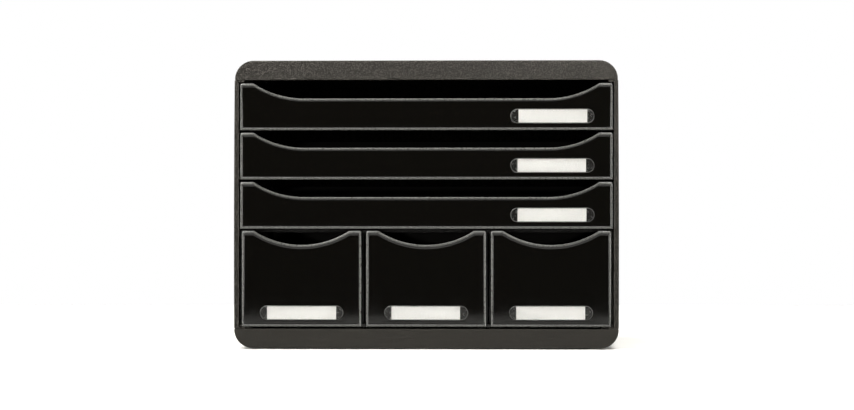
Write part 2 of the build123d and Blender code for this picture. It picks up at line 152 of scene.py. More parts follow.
def quarter_round(radius: float, steps: int) -> list[tuple[float, float]]:
    """Rounded edge: radius (1 - cos) moved off one face, radius (1 - sin) short of the next."""
    turn = sweep(0, 90, steps)
    return list(zip(radius * (1 - np.cos(turn)), radius * (1 - np.sin(turn))))


def in_plane_y(outline: np.ndarray, y: float) -> np.ndarray:
    """Points (x, z) set at a depth y, as an array of (x, y, z)."""
    return np.column_stack([outline[:, 0], np.full(len(outline), y), outline[:, 1]])


def in_plane_z(outline: np.ndarray, z: float | np.ndarray) -> np.ndarray:
    """Points (x, y) set at a height z, as an array of (x, y, z)."""
    return np.column_stack([outline, np.broadcast_to(z, len(outline))])


class Shape:
    """A mesh that grows out of grids and caps, and becomes one closed piece."""

    def __init__(self) -> None:
        """Start with no points and no faces."""
        self.points: list[np.ndarray] = []
        self.faces: list[list[int]] = []
        self.zones: list[int] = []
        self.count = 0

    def _keep(self, points: np.ndarray) -> np.ndarray:
        """Store points.

        Args:
            points: Array whose last axis is (x, y, z).

        Returns:
            Their indices, shaped like the points.
        """
        flat = points.reshape(-1, 3)
        indices = np.arange(self.count, self.count + len(flat))
        self.points.append(flat)
        self.count += len(flat)
        return indices.reshape(points.shape[:-1])

    def grid(self, rows: np.ndarray, zone: Zone = Zone.MAIN, closed: bool = True) -> None:
        """Add four-sided faces between neighbouring rows of points.

        Args:
            rows: Array of shape (rows, columns, 3).
            zone: Finish of the faces.
            closed: Whether each row runs back to its first point.
        """
        indices = self._keep(rows)
        if closed:
            indices = np.concatenate([indices, indices[:, :1]], axis=1)
        quads = np.stack(
            [indices[:-1, :-1], indices[:-1, 1:], indices[1:, 1:], indices[1:, :-1]], axis=-1
        )
        quads = quads.reshape(-1, 4).tolist()
        self.faces += quads
        self.zones += [zone.value] * len(quads)

    def cap(self, loop: np.ndarray, zone: Zone = Zone.MAIN) -> None:
        """Close a flat loop, an array of shape (points, 3), with one face."""
        self.faces.append(self._keep(loop).tolist())
        self.zones.append(zone.value)

    def stack(self, rows: np.ndarray, zone: Zone = Zone.MAIN) -> None:
        """Add a closed skin: a grid with a flat cap on its first and last rows.

        Args:
            rows: Array of shape (rows, columns, 3).
            zone: Finish of the faces.
        """
        self.grid(rows, zone)
        self.cap(rows[0], zone)
        self.cap(rows[-1], zone)

    def block(
        self, low: Sequence[float], high: Sequence[float], radius: float = 0.3 * MM, steps: int = 2
    ) -> None:
        """Add a block with rounded edges.

        Points on the faces of a slightly larger cube are drawn to the nearest point of
        the block's core, the block less its radius, and then stand off it by the radius.
        Ticks at the core plus radius times the tangent of even angles make even arcs.

        Args:
            low: Lowest corner.
            high: Highest corner.
            radius: Radius of every edge.
            steps: Steps in an eighth of a turn.
        """
        low_corner, high_corner = np.asarray(low, float), np.asarray(high, float)
        middle = (low_corner + high_corner) / 2
        core = (high_corner - low_corner) / 2 - radius
        reach = radius * np.tan(sweep(0, 45, steps))
        for axis in range(3):
            across = [(axis + 1) % 3, (axis + 2) % 3]
            ticks = [np.concatenate([-(core[a] + reach)[::-1], core[a] + reach]) for a in across]
            for sign in (-1, 1):
                cube = np.zeros((len(ticks[0]), len(ticks[1]), 3))
                cube[..., across[0]] = ticks[0][:, None]
                cube[..., across[1]] = ticks[1][None, :]
                cube[..., axis] = sign * (core[axis] + radius)
                inner = np.clip(cube, -core, core)
                away = cube - inner
                away *= radius / np.linalg.norm(away, axis=-1, keepdims=True)
                self.grid(middle + inner + away, closed=False)

    def piece(
        self, name: str, body: str, finishes: Sequence[Material],
        nodes: Sequence[str], mirrored: bool = False,
    ) -> None:
        """Turn the shape into a finished piece that rides on a body.

        Points that lie on each other are merged and every closed skin is turned outwards.
        Edges over CRISP_DEGREES stay crisp, and flat faces keep their own normals.

        Args:
            name: Name of the piece.
            body: Body that it rides on.
            finishes: One material for each zone.
            nodes: CAD nodes that it stands for.
            mirrored: Whether to turn it into its mirror image in X.
        """
        points = np.concatenate(self.points)
        if mirrored:
            points = points * np.array([-1.0, 1.0, 1.0])
        mesh = bpy.data.meshes.new(name)
        mesh.from_pydata(points.tolist(), [], self.faces)
        mesh.polygons.foreach_set("material_index", self.zones)
        for finish in finishes:
            mesh.materials.append(finish)
        work = bmesh.new()
        work.from_mesh(mesh)
        bmesh.ops.remove_doubles(work, verts=work.verts, dist=MERGE_DISTANCE)
        bmesh.ops.dissolve_degenerate(work, edges=work.edges, dist=MERGE_DISTANCE / 10)
        bmesh.ops.recalc_face_normals(work, faces=work.faces)
        work.to_mesh(mesh)
        work.free()
        mesh.shade_smooth()
        mesh.set_sharp_from_angle(angle=math.radians(CRISP_DEGREES))
        thing = bpy.data.objects.new(name, mesh)
        bpy.context.scene.collection.objects.link(thing)
        weighted = thing.modifiers.new("flat_faces_lead", "WEIGHTED_NORMAL")
        weighted.keep_sharp = True
        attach(thing, body)
        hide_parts(*nodes)
        log.info("%s: %d points for %s", name, len(mesh.vertices), ", ".join(nodes))


class Nodes:
    """Short hand for wiring a material or a node group."""

    def __init__(self, tree: NodeTree) -> None:
        """Work on one tree."""
        self.tree = tree

    def add(self, kind: str, **settings: object) -> Node:
        """Add a node.

        Args:
            kind: Blender's name of the node type.
            **settings: Properties to set on it.

        Returns:
            The node.
        """
        node = self.tree.nodes.new(kind)
        for name, value in settings.items():
            setattr(node, name, value)
        return node

    def feed(self, source: Source, target: NodeSocket) -> None:
        """Link an output to an input, or set the input.

        Args:
            source: An output, a number or a colour.
            target: The input.
        """
        if isinstance(source, NodeSocket):
            self.tree.links.new(source, target)
        else:
            target.default_value = (*source, 1.0) if isinstance(source, tuple) else source

    def maths(self, operation: str, first: Source, second: Source) -> NodeSocket:
        """Add a Math node.

        Args:
            operation: Name of the operation.
            first: Number or output for the first input.
            second: Number or output for the second input.

        Returns:
            Its output.
        """
        node = self.add("ShaderNodeMath", operation=operation)
        self.feed(first, node.inputs[0])
        self.feed(second, node.inputs[1])
        return node.outputs[0]

    def spread(
        self, value: NodeSocket, low: float, high: float,
        out_low: float = 0.0, out_high: float = 1.0,
    ) -> NodeSocket:
        """Add a clamped Map Range node.

        Args:
            value: Output to map.
            low: Value that becomes out_low.
            high: Value that becomes out_high.
            out_low: Lower result.
            out_high: Upper result.

        Returns:
            Its output.
        """
        node = self.add("ShaderNodeMapRange")
        names = ("Value", "From Min", "From Max", "To Min", "To Max")
        for name, source in zip(names, (value, low, high, out_low, out_high)):
            self.feed(source, node.inputs[name])
        return node.outputs["Result"]

    def noise(self, scale: Source, detail: float = 2.0) -> NodeSocket:
        """Add a Noise Texture with so many lumps to the metre, and give its value."""
        return self.texture("ShaderNodeTexNoise", scale, detail).outputs["Fac"]

    def texture(
        self, kind: str, scale: Source, detail: float = 0.0, **settings: object
    ) -> Node:
        """Add a texture on Object coordinates.

        Args:
            kind: Blender's name of the node type.
            scale: Lumps in a metre, as a number or an output.
            detail: How many times finer noise is added to it.
            **settings: Properties to set on it.

        Returns:
            The node.
        """
        node = self.add(kind, **settings)
        place = self.add("ShaderNodeTexCoord").outputs["Object"]
        for name, source in (("Vector", place), ("Scale", scale), ("Detail", detail)):
            self.feed(source, node.inputs[name])
        return node

    def normal(self) -> NodeSocket:
        """Add a Geometry node and give its normal."""
        return self.add("ShaderNodeNewGeometry").outputs["Normal"]


class Group(Nodes):
    """A shared shader node group with named number sockets."""

    def __init__(self, name: str, entry: str, value: float, outputs: Sequence[str]) -> None:
        """Make the group.

        Args:
            name: Name of the group.
            entry: Name of its input.
            value: The input's number where a material sets none.
            outputs: Names of its outputs.
        """
        super().__init__(bpy.data.node_groups.new(name, "ShaderNodeTree"))
        sockets = [(entry, "INPUT")] + [(label, "OUTPUT") for label in outputs]
        for label, way in sockets:
            socket = self.tree.interface.new_socket(
                name=label, in_out=way, socket_type="NodeSocketFloat"
            )
            if way == "INPUT":
                socket.default_value = value
        self.entry = self.add("NodeGroupInput").outputs[entry]
        self.leave = self.add("NodeGroupOutput").inputs


def grain_group() -> NodeTree:
    """Fine moulded grain: a height from two sizes of noise, and a soft mottle.

    The height is a cloudy noise plus a share of the distance to the nearest of finer
    pebbles. The mottle is a broad noise with its middle range stretched.

    Returns:
        Group with the input Size in metres and the outputs Height and Mottle.
    """
    pebble_rate, pebble_share = 1.7, 0.6
    mottle_rate, mottle_detail, mottle_low, mottle_high = 0.22, 3.0, 0.3, 0.7
    group = Group("moulded_grain", "Size", 0.8 * MM, ("Height", "Mottle"))
    per_metre = group.maths("DIVIDE", 1.0, group.entry)
    rate = group.maths("MULTIPLY", per_metre, pebble_rate)
    fine = group.texture("ShaderNodeTexVoronoi", rate, feature="SMOOTH_F1").outputs["Distance"]
    pebbles = group.maths("MULTIPLY", fine, pebble_share)
    group.feed(group.maths("ADD", group.noise(per_metre), pebbles), group.leave["Height"])
    mottle = group.noise(group.maths("MULTIPLY", per_metre, mottle_rate), mottle_detail)
    group.feed(group.spread(mottle, mottle_low, mottle_high), group.leave["Mottle"])
    return group.tree


def wear_group() -> NodeTree:
    """Handling wear: a mask that is 1 on rounded edges, broken up by noise.

    A Bevel node's normal leaves the true normal only beside an edge, so one less their
    dot product is large there.

    Returns:
        Group with the input Reach in metres and the output Mask.
    """
    bend_rays, bend_low, bend_high = 4, 0.01, 0.12
    patch_scale, patch_detail, patch_low, patch_high = 260.0, 4.0, 0.4, 0.65
    group = Group("edge_wear", "Reach", 0.6 * MM, ("Mask",))
    bevel = group.add("ShaderNodeBevel", samples=bend_rays)
    group.feed(group.entry, bevel.inputs["Radius"])
    dot = group.add("ShaderNodeVectorMath", operation="DOT_PRODUCT")
    group.feed(bevel.outputs["Normal"], dot.inputs[0])
    group.feed(group.normal(), dot.inputs[1])
    edge = group.spread(group.maths("SUBTRACT", 1.0, dot.outputs["Value"]), bend_low, bend_high)
    patchy = group.spread(group.noise(patch_scale, patch_detail), patch_low, patch_high)
    group.feed(group.maths("MULTIPLY", edge, patchy), group.leave["Mask"])
    return group.tree


def dust_group() -> NodeTree:
    """Settled dust: specks and an even film on faces that look upwards.

    Returns:
        Group with the input Amount and the outputs Mask for the specks and Film.
    """
    tilt_low, tilt_high = 0.5, 1.0
    speck_scale, speck_detail, speck_low, speck_high = 900.0, 5.0, 0.52, 0.72
    group = Group("settled_dust", "Amount", 0.3, ("Mask", "Film"))
    split = group.add("ShaderNodeSeparateXYZ")
    group.feed(group.normal(), split.inputs["Vector"])
    upward = group.spread(split.outputs["Z"], tilt_low, tilt_high)
    specks = group.spread(group.noise(speck_scale, speck_detail), speck_low, speck_high)
    mask = group.maths("MULTIPLY", upward, specks)
    group.feed(group.maths("MULTIPLY", mask, group.entry), group.leave["Mask"])
    group.feed(upward, group.leave["Film"])
    return group.tree


@dataclass(frozen=True)
class Effects:
    """The shared node groups, built once."""

    grain: NodeTree
    wear: NodeTree
    dust: NodeTree


class Surface(Nodes):
    """A material: its Principled shader and the nodes that feed it."""

    MIX_CLEAN, MIX_OTHER, MIX_RESULT = 6, 7, 2

    def __init__(self, name: str) -> None:
        """Make the material.

        Args:
            name: Name of the material.
        """
        self.material = bpy.data.materials.new(name)
        self.material.use_nodes = True
        super().__init__(self.material.node_tree)

    def shade(self, socket: str, source: Source) -> None:
        """Set an input of the Principled shader, or feed it."""
        self.feed(source, self.tree.nodes["Principled BSDF"].inputs[socket])

    def effect(self, group: NodeTree, value: float) -> dict[str, NodeSocket]:
        """Place a shared group with its own value.

        Args:
            group: The group, which has one input.
            value: The input's number.

        Returns:
            Its outputs by name.
        """
        node = self.add("ShaderNodeGroup", node_tree=group)
        node.inputs[0].default_value = value
        return {socket.name: socket for socket in node.outputs}

    def tint(self, mask: Source, clean: Source, other: Colour) -> NodeSocket:
        """Mix one colour into another by a mask.

        Args:
            mask: Share of the other colour.
            clean: Colour or output where the mask is 0.
            other: Colour where the mask is 1.

        Returns:
            The mixed colour.
        """
        mix = self.add("ShaderNodeMix", data_type="RGBA")
        self.feed(mask, mix.inputs["Factor"])
        self.feed(clean, mix.inputs[self.MIX_CLEAN])
        self.feed(other, mix.inputs[self.MIX_OTHER])
        return mix.outputs[self.MIX_RESULT]

    def bump(self, height: NodeSocket, depth: float) -> None:
        """Raise the surface by a height.

        Args:
            height: Height from 0 to 1.
            depth: What 1 stands for, in metres.
        """
        bump = self.add("ShaderNodeBump")
        for name, source in (("Strength", 1.0), ("Distance", depth), ("Height", height)):
            self.feed(source, bump.inputs[name])
        self.shade("Normal", bump.outputs["Normal"])


@dataclass(frozen=True)
class Finish:
    """A finish of one linear base colour and one roughness."""

    name: str
    base: Colour
    roughness: float

    def make(self, effects: Effects) -> Material:
        """Make the material.

        Args:
            effects: The shared node groups.

        Returns:
            The material.
        """
        surface = Surface(self.name)
        surface.shade("Base Color", self.base)
        surface.shade("Roughness", self.roughness)
        self.dress(surface, effects)
        return surface.material

    def dress(self, surface: Surface, effects: Effects) -> None:
        """Add what the finish has beyond its plain colour, each finish in its own way."""


@dataclass(frozen=True)
class GrainedPlastic(Finish):
    """Dull black plastic with a fine moulded grain whose paler crests are partly painted glints,
    paler where edges are handled.
    """

    name: str = "grained_casing_plastic"
    base: Colour = (0.0012, 0.0011, 0.0009)
    roughness: float = 0.36
    # Tone of the grain's crests: partly the grain's own colour, partly a painted glint.
    light: Colour = (0.034, 0.0317, 0.029)
    worn: Colour = (0.02, 0.018, 0.016)
    dusty: Colour = (0.06, 0.057, 0.05)
    sheen: Colour = (1.0, 0.95, 0.86)
    gloss: float = 0.22
    grain_size: float = 1.5 * MM
    grain_depth: float = 0.07 * MM
    wear_reach: float = 0.7 * MM
    dust: float = 0.2
    film: float = 0.32
    pale_from: float = 0.76
    smooth_from: float = 0.6
    crests: float = 0.9
    swing: float = 0.14

    def dress(self, surface: Surface, effects: Effects) -> None:
        """Make the grain's crests paler, partly the grain's tone and partly painted glints, and
        smoother, and lay wear and dust over it.

        Args:
            surface: The material to work on.
            effects: The shared node groups.
        """
        height = surface.effect(effects.grain, self.grain_size)["Height"]
        wear = surface.effect(effects.wear, self.wear_reach)["Mask"]
        dust = surface.effect(effects.dust, self.dust)
        pale = surface.spread(height, self.pale_from, self.crests)
        colour = surface.tint(pale, self.base, self.light)
        colour = surface.tint(wear, colour, self.worn)
        surface.shade("Base Color", surface.tint(dust["Mask"], colour, self.dusty))
        surface.shade("Specular Tint", self.sheen)
        surface.shade("Specular IOR Level", self.gloss)
        rough = surface.spread(
            height, self.smooth_from, self.crests,
            self.roughness + self.swing, self.roughness - self.swing,
        )
        dull = surface.maths("MULTIPLY", dust["Film"], self.film)
        surface.shade("Roughness", surface.maths("ADD", rough, dull))
        surface.bump(height, self.grain_depth)


@dataclass(frozen=True)
class PolishedPlastic(Finish):
    """Polished black plastic with the faint waviness of a moulding."""

    name: str = "polished_drawer_plastic"
    base: Colour = (0.0007, 0.0006, 0.0004)
    roughness: float = 0.04
    dusty: Colour = (0.02, 0.019, 0.017)
    gloss: float = 0.3
    wave_scale: float = 26.0
    wave_detail: float = 1.0
    wave_depth: float = 0.006 * MM
    haze_scale: float = 60.0
    haze_detail: float = 6.0
    haze_low: float = 0.35
    haze_high: float = 0.7
    haze: float = 0.04
    dust: float = 0.12

    def dress(self, surface: Surface, effects: Effects) -> None:
        """Add specks of dust, a patchy haze and the waves.

        Args:
            surface: The material to work on.
            effects: The shared node groups.
        """
        specks = surface.effect(effects.dust, self.dust)["Mask"]
        surface.shade("Base Color", surface.tint(specks, self.base, self.dusty))
        surface.shade("Specular IOR Level", self.gloss)
        haze = surface.noise(self.haze_scale, self.haze_detail)
        rough = surface.spread(
            haze, self.haze_low, self.haze_high, self.roughness, self.roughness + self.haze
        )
        surface.shade("Roughness", rough)
        surface.bump(surface.noise(self.wave_scale, self.wave_detail), self.wave_depth)


@dataclass(frozen=True)
class PaintedSheenRim(Finish):
    """Satin grey of the beads round the drawer fronts: a lighter colour than the polished face, a
    painted highlight that stands in for the lights' sheen on the bead.
    """

    name: str = "bead_painted_sheen_plastic"
    # Lighter than the polished face: painted highlight of the lights on the bead.
    base: Colour = (0.03, 0.0305, 0.0285)
    roughness: float = 0.28
    worn: Colour = (0.045, 0.045, 0.042)
    smoother: float = 0.04
    rougher: float = 0.06
    grain_size: float = 0.5 * MM
    grain_depth: float = 0.008 * MM
    wear_reach: float = 0.3 * MM

    def dress(self, surface: Surface, effects: Effects) -> None:
        """Add wear on the edges and a faint mottled grain.

        Args:
            surface: The material to work on.
            effects: The shared node groups.
        """
        grain = surface.effect(effects.grain, self.grain_size)
        wear = surface.effect(effects.wear, self.wear_reach)["Mask"]
        surface.shade("Base Color", surface.tint(wear, self.base, self.worn))
        low, high = self.roughness - self.smoother, self.roughness + self.rougher
        surface.shade("Roughness", surface.spread(grain["Mottle"], 0.0, 1.0, low, high))
        surface.bump(grain["Height"], self.grain_depth)


@dataclass(frozen=True)
class ClearPlastic(Finish):
    """Clear plastic of the label windows, matt where it is frosted."""

    name: str = "clear_window_plastic"
    base: Colour = (0.985, 0.985, 0.98)
    roughness: float = 0.06
    frost: float = 0.0
    clearness: float = 1.0
    refraction: float = 1.49
    haze: float = 0.05
    grain_size: float = 0.6 * MM
    grain_depth: float = 0.002 * MM
    frost_depth: float = 0.05 * MM

    def dress(self, surface: Surface, effects: Effects) -> None:
        """Make it clear, and let the frost roughen and raise its grain.

        Args:
            surface: The material to work on.
            effects: The shared node groups.
        """
        surface.shade("Transmission Weight", self.clearness)
        surface.shade("IOR", self.refraction)
        grain = surface.effect(effects.grain, self.grain_size)
        high = self.roughness + self.haze + self.frost
        rough = surface.spread(grain["Mottle"], 0.0, 1.0, self.roughness, high)
        surface.shade("Roughness", rough)
        surface.bump(grain["Height"], self.grain_depth + self.frost_depth * self.frost)


@dataclass(frozen=True)
class MottledSolid(Finish):
    """Matt solid whose colour wanders between two tones over a fine grain."""

    tone: Colour
    grain_size: float
    grain_depth: float

    def dress(self, surface: Surface, effects: Effects) -> None:
        """Mix the two tones by the mottle and raise the grain.

        Args:
            surface: The material to work on.
            effects: The shared node groups.
        """
        grain = surface.effect(effects.grain, self.grain_size)
        surface.shade("Base Color", surface.tint(grain["Mottle"], self.base, self.tone))
        surface.bump(grain["Height"], self.grain_depth)


@dataclass(frozen=True)
class PaperCard(MottledSolid):
    """White card with faint fibres in a slightly warmer tone."""

    name: str = "white_label_card"
    base: Colour = (0.85, 0.846, 0.838)
    roughness: float = 0.8
    tone: Colour = (0.837, 0.829, 0.817)
    grain_size: float = 0.35 * MM
    grain_depth: float = 0.01 * MM


@dataclass(frozen=True)
class SoftRubber(MottledSolid):
    """Dull dark rubber of the feet."""

    name: str = "soft_foot_rubber"
    base: Colour = (0.022, 0.022, 0.021)
    roughness: float = 0.85
    tone: Colour = (0.035, 0.034, 0.032)
    grain_size: float = 0.5 * MM
    grain_depth: float = 0.04 * MM


@dataclass(frozen=True)
class PaleTable(Finish):
    """Pale matt table top, with broad patches in two tones."""

    name: str = "pale_table"
    base: Colour = (0.56, 0.56, 0.55)
    roughness: float = 0.7
    tone: Colour = (0.54, 0.54, 0.53)
    patch_scale: float = 3.0
    patch_low: float = 0.2
    patch_high: float = 0.8

    def dress(self, surface: Surface, effects: Effects) -> None:
        """Mix the two tones by a broad noise."""
        patches = surface.spread(surface.noise(self.patch_scale), self.patch_low, self.patch_high)
        surface.shade("Base Color", surface.tint(patches, self.base, self.tone))


@dataclass(frozen=True)
class Finishes:
    """Every material of the box and its table, built once."""

    casing: Material
    base: Material
    inner: Material
    drawer: Material
    rim: Material
    window: Material
    window_end: Material
    window_edge: Material
    card: Material
    rubber: Material
    table: Material


def make_finishes() -> Finishes:
    """Build the shared effects and every finish.

    Returns:
        The materials.
    """
    looks = {
        "casing": GrainedPlastic(),
        "base": GrainedPlastic(
            "plainer_base_plastic", (0.0055, 0.0052, 0.0046), light=(0.019, 0.0178, 0.016)
        ),
        # Shelf and partitions: darker than the casing, without its paler crests, as painted shade
        # in the gaps between the drawers.
        "inner": PolishedPlastic("smooth_inner_plastic_painted_shade", (0.0012, 0.0011, 0.0009), 0.2),
        "drawer": PolishedPlastic(),
        "rim": PaintedSheenRim(),
        "window": ClearPlastic(),
        "window_end": ClearPlastic(
            "smoky_window_plastic", (0.04, 0.039, 0.037), 0.17, frost=0.08, clearness=0.9
        ),
        "window_edge": ClearPlastic(
            "frosted_window_edge", (0.06, 0.059, 0.056), 0.3, frost=0.2, clearness=0.75
        ),
        "card": PaperCard(),
        "rubber": SoftRubber(),
        "table": PaleTable(),
    }
    effects = Effects(grain=grain_group(), wear=wear_group(), dust=dust_group())
    return Finishes(**{place: finish.make(effects) for place, finish in looks.items()})


@dataclass
class Bay:
    """Sizes that the casing and the drawers share, read from the frame."""

    half_width: float
    half_depth: float
    low_seam: float
    high_seam: float
    bay_half: float
    stop_y: float
    rear_y: float
    shelf_bottom: float
    small_z: float

    @classmethod
    def from_frame(cls) -> "Bay":
        """Read the sizes off the boxes of the CAD nodes.

        Returns:
            The sizes.
        """
        cover_low, cover_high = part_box("top_cover")
        side_low, side_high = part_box("right_side_panel")
        side_thickness, side_frame, shelf_thickness = 4.6 * MM, 18.0 * MM, 1.8 * MM
        return cls(
            half_width=side_high.x,
            half_depth=cover_high.y,
            low_seam=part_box("base")[1].z,
            high_seam=cover_low.z,
            bay_half=side_high.x - side_thickness,
            stop_y=side_low.y + side_frame,
            rear_y=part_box("back_panel")[0].y,
            shelf_bottom=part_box("middle_shelf")[1].z - shelf_thickness,
            small_z=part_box("left_small_drawer")[0].z,
        )


@dataclass
class Casing:
    """Cover, base, side panels, back, shelf, partitions and feet.

    In the names of sizes, half is half a width, short is how far a part ends before what
    holds it, lap and bury are how far it runs into another, and steps are counts.
    """

    bay: Bay
    finishes: Finishes
    # Cover and base, and the shadow groove at their seams
    wall: float = 2.6 * MM
    edge: float = 1.0 * MM
    soft: float = 0.1 * MM
    notch: float = 0.35 * MM
    groove: float = 0.8 * MM
    arc_steps: int = 28
    edge_steps: int = 4
    rib_half: float = 0.8 * MM
    rib_height: float = 6.0 * MM
    rib_short: float = 14.0 * MM
    # Side panels
    panel_edge: float = 0.7 * MM
    crown_low: float = 0.15 * MM
    crown_high: float = 0.7 * MM
    crown_points: int = 25
    skin: float = 2.2 * MM
    pocket_end: float = 8.0 * MM
    pocket_lap: float = 1.0 * MM
    root: float = 0.5 * MM
    # Flanges, rails, ledges and stops on them
    flange_reach: float = 5.0 * MM
    low_flange_gap: float = 0.4 * MM
    high_flange: float = 2.05 * MM
    rail_front: float = 4.2 * MM
    rail_thickness: float = 2.0 * MM
    rail_reach: float = 8.5 * MM
    low_rail_reach: float = 10.7 * MM
    low_rail_rise: float = 0.3 * MM
    ledge_reach: float = 3.8 * MM
    ledge_front: float = 14.0 * MM
    ledge_thickness: float = 2.0 * MM
    stop_depth: float = 4.0 * MM
    stop_gap: float = 1.0 * MM
    # Back panel
    back_soft: float = 0.3 * MM
    back_corner: float = 1.0 * MM
    field_corner: float = 2.0 * MM
    corner_steps: int = 3
    field_in: float = 14.0 * MM
    field_depth: float = 0.6 * MM
    lap_short: float = 20.0 * MM
    lap_step: float = 0.05 * MM
    lap_height: float = 1.0 * MM
    # Shelf
    lip_short: float = 4.1 * MM
    lip_depth: float = 2.0 * MM
    lip_drop: float = 1.4 * MM
    lip_bury: float = 0.3 * MM
    guide_gap: float = 1.15 * MM
    guide_reach: float = 2.75 * MM
    guide_short: float = 12.0 * MM
    guide_bury: float = 0.2 * MM
    # Partitions
    web_half: float = 1.0 * MM
    stop_half: float = 3.4 * MM
    stop_short: float = 3.0 * MM
    nose_half: float = 1.9 * MM
    nose_depth: float = 6.0 * MM
    nose_height: float = 2.7 * MM
    # Feet
    foot_edge: float = 0.4 * MM
    foot_steps: int = 48

    def dress(
        self, shape: Shape, node: str, finish: Material,
        slot: Slot = Slot.CASING, mirrored: bool = False,
    ) -> None:
        """Make a shape a piece of the casing that stands for a CAD node."""
        shape.piece(f"{node}_moulding", "casing", [finish], [node], mirrored)

    def hood(self, node: str, up: int, finish: Material) -> None:
        """Build the cover (up = 1) or the base (up = -1).

        The skin is a stack of rectangles. At height z the long sides stand in by
        R - sqrt(R^2 - (z - z0)^2), the arc of the rounded corner, and the front and rear
        by the same formula with the small radius of their upper edge. Beside the seam the
        wall steps back and leaves half of the shadow groove.

        Args:
            node: CAD node that it stands for.
            up: Which way the hood bulges from its seam.
            finish: Its material.
        """
        low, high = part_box(node)
        half_x, half_y, height = high.x, high.y, high.z - low.z
        start = 2 * self.notch
        radius = height - start
        middle_x, inner_steps = half_x - radius, self.arc_steps // 2
        outer_x, outer_z = arc(middle_x, start, radius, 0, 90, self.arc_steps).T
        over = np.clip(outer_z - (height - self.edge), 0, self.edge)
        outer_y = half_y - self.edge + np.sqrt(self.edge**2 - over**2)
        inner_x, inner_z = arc(middle_x, start, radius - self.wall, 90, 0, inner_steps).T
        inner_y = np.full(len(inner_x), half_y - self.wall)
        land = [(half_x - self.wall, half_y - self.wall, 0.0),
                (half_x - self.notch, half_y - self.groove, 0.0),
                (half_x - self.notch, half_y - self.groove, self.notch),
                (half_x - self.soft, half_y - self.soft, self.notch),
                (half_x, half_y, self.notch + self.soft),
                (half_x, half_y, start)]
        levels = np.concatenate([
            np.column_stack([inner_x, inner_y, inner_z]), np.array(land),
            np.column_stack([outer_x, outer_y, outer_z])[1:],
        ])
        seam_z = low.z if up > 0 else high.z
        rows = []
        for level_x, level_y, level_z in levels:
            corner = (level_x, level_y)
            loop = rounded_rectangle(
                (-level_x, -level_y), corner, [self.edge] * 4, self.edge_steps
            )
            rows.append(in_plane_z(loop, seam_z + up * level_z))
        shape = Shape()
        shape.stack(np.stack(rows))
        self.hood_ribs(shape, seam_z, height, up)
        self.dress(shape, node, finish)

    def hood_ribs(self, shape: Shape, seam_z: float, height: float, up: int) -> None:
        """Add the cross ribs inside a hood.

        Args:
            shape: Hood's shape.
            seam_z: Height of the seam.
            height: Height of the hood.
            up: Which way the hood bulges.
        """
        reach = self.bay.half_width - self.rib_short
        drops = (height - self.wall / 2, height - self.wall - self.rib_height)
        ends = sorted(seam_z + up * drop for drop in drops)
        for place in (-1, 0, 1):
            y = place * 2 * self.bay.half_depth / 3
            shape.block((-reach, y - self.rib_half, ends[0]), (reach, y + self.rib_half, ends[1]))

    def side_section(self, inner_x: float, inset: float, land: float) -> np.ndarray:
        """Front view of a side panel at one depth.

        The outer face is the parabola x = w - k (z - z0)^2, widest at z0, which falls back by
        the two crown drops at its ends. The ends stand off the seams by half the groove, and
        behind the groove a land fills that space.

        Args:
            inner_x: X of its flat inner face.
            inset: How far the outline is drawn in.
            land: How far the land reaches towards the seams.

        Returns:
            Closed outline of (x, z) points.
        """
        low, high = self.bay.low_seam + self.notch, self.bay.high_seam - self.notch
        roots = math.sqrt(self.crown_low), math.sqrt(self.crown_high)
        widest = low + (high - low) * roots[0] / (roots[0] + roots[1])
        bend = self.crown_high / (high - widest) ** 2
        low, high = low + inset, high - inset
        heights = np.linspace(low, high, self.crown_points)
        outer_x = self.bay.half_width - inset - bend * (heights - widest) ** 2
        land_x = self.bay.half_width - self.crown_high - self.notch
        foot = [(inner_x + inset, low - land), (land_x, low - land), (land_x, low)]
        head = [(land_x, high), (land_x, high + land), (inner_x + inset, high + land)]
        return np.concatenate([foot, np.column_stack([outer_x, heights]), head])

    def side_panel(self, side: Side) -> None:
        """Build a side panel: a crowned skin between two thick edges, with its runners.

        The front and rear edges are quarter rounds, and the land starts behind the groove.

        Args:
            side: Which panel.
        """
        bay = self.bay
        skin_x = bay.half_width - self.skin
        pocket_y = bay.half_depth - self.pocket_end
        end = [(short, moved, 0.0)
               for moved, short in quarter_round(self.panel_edge, self.edge_steps)]
        end += [(0.0, self.groove, 0.0), (0.0, self.groove, self.notch)]
        frame_x = bay.bay_half
        places = [(frame_x, inset, land, -bay.half_depth + depth) for inset, depth, land in end]
        pocket = ((frame_x, bay.stop_y), (skin_x, bay.stop_y),
                  (skin_x, pocket_y), (frame_x, pocket_y))
        places += [(x, 0.0, self.notch, y) for x, y in pocket]
        places += [(frame_x, inset, land, bay.half_depth - depth)
                   for inset, depth, land in end[::-1]]
        shape = Shape()
        shape.stack(np.stack([in_plane_y(self.side_section(*form), y) for *form, y in places]))
        self.side_fittings(shape, skin_x, pocket_y)
        node = f"{side.name.lower()}_side_panel"
        self.dress(shape, node, self.finishes.casing, mirrored=side is Side.LEFT)

